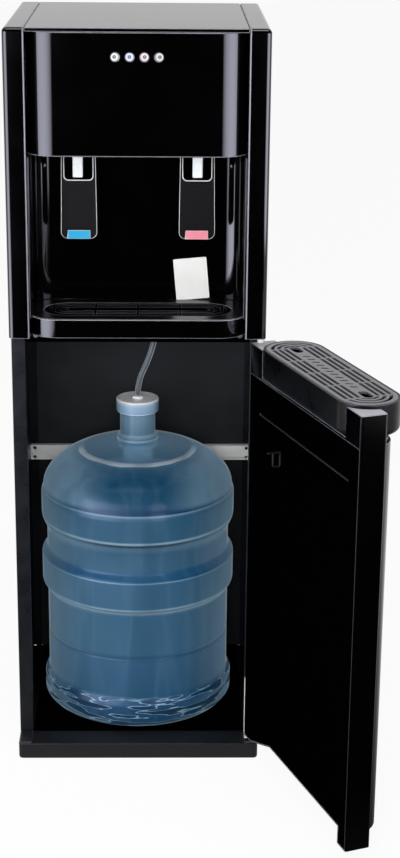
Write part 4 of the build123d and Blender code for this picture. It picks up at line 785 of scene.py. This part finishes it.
# ------------------------ pieces
class COOLER_OT_finishes(bpy.types.Operator):
    """Give each carried-over piece its finish and its moulded edges."""

    bl_idname = "cooler.finishes"
    bl_label = "Finishes"

    ROUNDED = (
        "base_tray side_frame_left side_frame_right top_cover fascia shelf shelf_grille dispensing_recess "
        "door_frame door_front door_liner drip_tray drip_tray_grille cold_paddle hot_paddle cold_valve hot_valve "
        "lower_hinge upper_hinge cross_bar side_panel_left side_panel_right mid_deck cold_tag hot_tag cold_spout "
        "hot_spout probe_hanger switch_bezel power_inlet drain_cap compartment_floor bottle_cap"
    ).split()
    # on these the corners meet at angles too sharp for an even offset
    SHARP_CORNERS = "base_tray upper_hinge lower_hinge cold_paddle hot_paddle".split()

    # pieces whose finish differs from what their slot usually wears
    OWN_FINISH = {
        **dict.fromkeys(
            "door_liner shelf_grille mid_deck compartment_floor cold_valve hot_valve".split(), "inner_black"
        ),
        "drip_tray": "tray_black",
        "drip_tray_grille": "grille_black",
        "base_tray": "base_black",
        "rear_panel": "rear_paint",
        "shelf": "shelf_black",
        "door_frame": "door_black",
        "cold_paddle": "tap_black",
        "hot_paddle": "tap_black",
        "bottle_cap": "cap",
        "panel_screws": "screw",
    }
    # finish and radius, as a share of the usual one, of the rounded edges; most of these finishes are pale painted
    # highlight lines
    EDGES = {
        **dict.fromkeys(
            "side_frame_left side_frame_right top_cover fascia shelf door_frame door_front".split(), ("edge", 1.0)
        ),
        "base_tray": ("dim_edge", 1.0),
        "drip_tray": ("dim_edge", 1.0),
        "door_liner": ("dim_edge", 0.5),
        "shelf_grille": ("dim_edge", 0.5),
        "drip_tray_grille": (None, 0.35),
        "cold_tag": ("bright_edge", 0.6),
        "hot_tag": ("bright_edge", 0.6),
        "bottle_cap": ("cap_edge", 1.0),
        "cold_paddle": (None, 1.6),
        "hot_paddle": (None, 1.6),
    }

    def execute(self, context):
        settings = context.scene.cooler_studio
        for part in frame["record"]["subparts"]:
            name = part["node"]
            node = frame["nodes"][name]
            material = finish(self.OWN_FINISH.get(name, part["material_slot"]))
            if not node.material_slots:
                node.data.materials.append(material)
            for material_slot in node.material_slots:
                material_slot.material = material
            if name in self.ROUNDED:
                edge, share = self.EDGES.get(name, (None, 1.0))
                self.round_edges(node, settings.edge_rounding * share, name in self.SHARP_CORNERS)
                if edge:
                    node.data.materials.append(finish(edge))
                    node.modifiers["moulded_edges"].material = len(node.data.materials) - 1
        return {"FINISHED"}

    @staticmethod
    def round_edges(node, radius, sharp_corners):
        """Clean the flat faces, then round the edges between them."""
        weld = node.modifiers.new("weld", "WELD")
        weld.merge_threshold = mm(0.01)
        flat = node.modifiers.new("flat_faces", "DECIMATE")
        flat.decimate_type = "DISSOLVE"
        flat.angle_limit = math.radians(0.2)
        edges = node.modifiers.new("moulded_edges", "BEVEL")
        edges.width = radius
        edges.segments = 2
        edges.limit_method = "ANGLE"
        edges.angle_limit = math.radians(40)
        edges.use_clamp_overlap = False
        if sharp_corners:
            edges.offset_type = "ABSOLUTE"
        shading = node.modifiers.new("even_shading", "WEIGHTED_NORMAL")
        shading.mode = "FACE_AREA"


class COOLER_OT_bottle(bpy.types.Operator):
    """Blow the water bottle."""

    bl_idname = "cooler.bottle"
    bl_label = "Bottle"

    # (radius, height) of the outside: the neck, and from the dome's foot down to the middle of the bottom, where
    # heights are above the bottom
    NECK = (
        (0.0225, 0.4677), (0.0245, 0.4677), (0.0245, 0.4205), (0.029, 0.4185), (0.029, 0.4115), (0.0262, 0.4095),
    )
    WALL = (
        (0.136, 0.338), (0.136, 0.303), (0.1285, 0.287), (0.1285, 0.256), (0.136, 0.248), (0.136, 0.205),
        (0.1285, 0.196), (0.1285, 0.134), (0.1279, 0.132), (0.1279, 0.129), (0.1285, 0.127), (0.1285, 0.071),
        (0.1345, 0.060),
    )
    BOTTOM = ((0.1345, 0.010), (0.126, 0.0002), (0.108, 0.0002), (0.090, 0.0092), (0.0005, 0.0092))
    # the dome is a quarter of an ellipse that starts at the collar
    DOME_RADIUS, DOME_FOOT, DOME_RISE = 0.1335, 0.345, 0.066
    COLLAR_ANGLE, DOME_STEPS = 78, 12
    WALL_THICK, DOME_THICK = 0.0022, 0.002
    LOBES, LOBE_DEPTH, LOBE_HEIGHT, LOBE_REACH = 18, 0.0007, 0.047, 0.013

    def execute(self, context):
        low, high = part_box("water_bottle")
        centre = ((low[0] + high[0]) / 2, (low[1] + high[1]) / 2)
        skin = self.skin(low[2])
        bottle = lathe("bottle_body", skin, centre, finish("blue_bottle"), 160, self.lobes)
        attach(bottle, "bottle")
        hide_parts("water_bottle")
        return {"FINISHED"}

    def skin(self, bottom):
        """Outside from the neck down, then the inside back up."""
        dome = []
        for step in range(self.DOME_STEPS + 1):
            angle = math.radians(self.COLLAR_ANGLE * (self.DOME_STEPS - step) / self.DOME_STEPS)
            dome.append((self.DOME_RADIUS * math.cos(angle), self.DOME_FOOT + self.DOME_RISE * math.sin(angle)))
        wall = [*self.WALL, *((r, bottom + z) for r, z in self.BOTTOM)]
        inner = [(0.0005, bottom + 0.0112), (0.0905, bottom + 0.0112), (0.1085, bottom + 0.0024)]
        inner += [(r - self.WALL_THICK, z + (0.001 if z < 0.05 else 0)) for r, z in reversed(wall[:-3])]
        inner += [(r - self.DOME_THICK, z - self.DOME_THICK) for r, z in reversed(dome)]
        inner += [(0.0225, 0.4085), (0.0225, 0.4677)]
        return softened([*self.NECK, *dome, *wall]) + softened(inner)

    def lobes(self, radius, height, angle):
        """Shallow moulded lobes round the foot of the wall."""
        foot = max(0.0, 1 - abs(height - self.LOBE_HEIGHT) / self.LOBE_REACH)
        depth = self.LOBE_DEPTH * foot * (1 + math.cos(self.LOBES * angle))
        return radius - depth if radius > 0.12 else radius


class COOLER_OT_hoses(bpy.types.Operator):
    """Run the water hoses."""

    bl_idname = "cooler.hoses"
    bl_label = "Hoses"

    # y of the cabinet's front plane, of the pump and of the valves' ports
    FRONT = -0.160
    PUMP = FRONT + 0.1715
    PORT = FRONT + 0.066
    ROUTES = {
        "feed_hose": [
            (0.025, PUMP, 0.688), (0.025, PUMP, 0.765), (0.014, FRONT + 0.170, 0.850),
            (-0.022, FRONT + 0.168, 0.897), (-0.070, FRONT + 0.166, 0.897), (-0.105, FRONT + 0.165, 0.862),
            (-0.105, FRONT + 0.165, 0.823),
        ],
        "transfer_hose": [
            (-0.098, FRONT + 0.212, 0.823), (-0.098, FRONT + 0.212, 0.862), (-0.063, FRONT + 0.211, 0.897),
            (0.010, FRONT + 0.209, 0.905), (0.065, FRONT + 0.207, 0.897), (0.100, FRONT + 0.206, 0.862),
            (0.100, FRONT + 0.206, 0.823),
        ],
        "cold_hose": [
            (-0.076, PORT, 0.861), (-0.076, PORT, 0.900), (-0.0787, PORT + 0.035, 0.935),
            (-0.0823, FRONT + 0.148, 0.935), (-0.085, FRONT + 0.183, 0.900), (-0.085, FRONT + 0.183, 0.823),
        ],
        "hot_hose": [
            (0.076, PORT, 0.861), (0.076, PORT, 0.900), (0.082, PORT + 0.035, 0.935),
            (0.090, FRONT + 0.148, 0.935), (0.096, FRONT + 0.183, 0.900), (0.096, FRONT + 0.183, 0.823),
        ],
        "suction_hose": [
            (-0.0025, PUMP, 0.4746), (-0.001, PUMP + 0.0004, 0.4966), (0.011, PUMP - 0.0006, 0.5216),
            (0.0205, PUMP - 0.0008, 0.5506), (0.0243, PUMP - 0.0002, 0.5776), (0.025, PUMP, 0.6016),
            (0.025, PUMP, 0.618),
        ],
    }
    LENGTHS = {
        "feed_hose": 0.350, "transfer_hose": 0.299, "cold_hose": 0.254, "hot_hose": 0.255, "suction_hose": 0.148,
    }

    def execute(self, context):
        for name, points in self.ROUTES.items():
            make = self.bending_tube if name == "suction_hose" else self.tube
            make(context, name, points)
        return {"FINISHED"}

    @staticmethod
    def spline(name, points, radius=0.0):
        data = bpy.data.curves.new(name, "CURVE")
        data.dimensions = "3D"
        data.resolution_u = 24
        line = data.splines.new("NURBS")
        line.points.add(len(points) - 1)
        for point, place in zip(line.points, points):
            point.co = (*place, 1)
        line.order_u = 3
        line.use_endpoint_u = True
        data.bevel_depth = radius
        data.bevel_resolution = 6
        data.use_fill_caps = radius > 0
        return data

    def tube(self, context, name, points):
        """A curve that stays in the cabinet."""
        diameter = context.scene.cooler_studio.hose_diameter
        piece = bpy.data.objects.new(name + "_tube", self.spline(name + "_tube", points, diameter / 2))
        context.scene.collection.objects.link(piece)
        piece.data.materials.append(finish("clear_hose"))
        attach(piece, "cabinet")
        self.declare(piece, name, points, diameter)

    def declare(self, piece, name, points, diameter, path=None):
        """Hide the solid that the hose stands for."""
        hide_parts(name)

    def bending_tube(self, context, name, points):
        """A mesh tube that runs from the bottle's neck up into the deck."""
        diameter = context.scene.cooler_studio.hose_diameter
        line = bpy.data.objects.new(name + "_line", self.spline(name + "_line", points))
        context.scene.collection.objects.link(line)
        followed = bpy.data.meshes.new_from_object(line)
        path = [v.co.copy() for v in followed.vertices]
        bpy.data.objects.remove(line)
        sides = 20
        vertices = []
        faces = []
        across = Vector((0, 1, 0))
        for k, point in enumerate(path):
            along = (path[min(k + 1, len(path) - 1)] - path[max(k - 1, 0)]).normalized()
            across = (across - along * across.dot(along)).normalized()
            third = along.cross(across)
            for step in range(sides):
                angle = 2 * math.pi * step / sides
                vertices.append(point + (across * math.cos(angle) + third * math.sin(angle)) * diameter / 2)
        for k in range(len(path) - 1):
            for step in range(sides):
                nxt = (step + 1) % sides
                faces.append((k * sides + step, k * sides + nxt, (k + 1) * sides + nxt, (k + 1) * sides + step))
        faces.append(tuple(reversed(range(sides))))
        faces.append(tuple(range((len(path) - 1) * sides, len(path) * sides)))
        piece = mesh_object(name + "_tube", vertices, faces, finish("clear_hose"))
        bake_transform(piece)
        self.declare(piece, name, points, diameter, path=[tuple(p) for p in path])


class COOLER_OT_card(bpy.types.Operator):
    """Stick the blank card on the recess's back wall."""

    bl_idname = "cooler.card"
    bl_label = "Blank card"

    MIDDLE_X, MIDDLE_Z = 0.070, 0.6575
    HEIGHT_SHARE = 1.27
    CORNER = 0.0015
    TILT = 5
    # the recess's wall is this thick, and the card's faces stand this far off it
    WALL = 0.0025
    LAYERS = (0.00005, 0.0004)

    def execute(self, context):
        width = context.scene.cooler_studio.card_width
        height = width * self.HEIGHT_SHARE
        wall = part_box("dispensing_recess")[1][1] - self.WALL
        outline = []
        for sx, sz, start in ((1, 1, 0), (-1, 1, 90), (-1, -1, 180), (1, -1, 270)):
            for step in range(5):
                angle = math.radians(start + 22.5 * step)
                x = sx * (width / 2 - self.CORNER) + self.CORNER * math.cos(angle)
                z = sz * (height / 2 - self.CORNER) + self.CORNER * math.sin(angle)
                outline.append((x, z))
        tilt = math.radians(self.TILT)
        vertices = []
        for layer in self.LAYERS:
            for x, z in outline:
                across = self.MIDDLE_X + x * math.cos(tilt) - z * math.sin(tilt)
                up = self.MIDDLE_Z + x * math.sin(tilt) + z * math.cos(tilt)
                vertices.append((across, wall - layer, up))
        count = len(outline)
        faces = [tuple(range(count)), tuple(reversed(range(count, 2 * count)))]
        for k in range(count):
            faces.append((k, (k + 1) % count, count + (k + 1) % count, count + k))
        card = mesh_object("blank_card", vertices, faces, finish("card"), smooth=False)
        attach(card, "cabinet")
        return {"FINISHED"}


# ------------------------ panel and registration
STEPS = (
    COOLER_OT_camera,
    COOLER_OT_stage,
    COOLER_OT_finishes,
    COOLER_OT_bottle,
    COOLER_OT_hoses,
    COOLER_OT_card,
)


class COOLER_PT_studio(bpy.types.Panel):
    """Sidebar panel with the settings and one button for each step."""

    bl_idname = "COOLER_PT_studio"
    bl_label = "Water Cooler"
    bl_space_type = "VIEW_3D"
    bl_region_type = "UI"
    bl_category = "Water Cooler"

    def draw(self, context):
        settings = context.scene.cooler_studio
        for name in CoolerStudioSettings.__annotations__:
            self.layout.prop(settings, name)
        for step in STEPS:
            self.layout.operator(step.bl_idname)


CLASSES = (CoolerStudioSettings, *STEPS, COOLER_PT_studio)


def register():
    for cls in CLASSES:
        bpy.utils.register_class(cls)
    bpy.types.Scene.cooler_studio = bpy.props.PointerProperty(type=CoolerStudioSettings)


def unregister():
    del bpy.types.Scene.cooler_studio
    for cls in reversed(CLASSES):
        bpy.utils.unregister_class(cls)


def main():
    register()
    for step in STEPS:
        family, name = step.bl_idname.split(".")
        getattr(getattr(bpy.ops, family), name)()


if __name__ == "__main__":
    main()
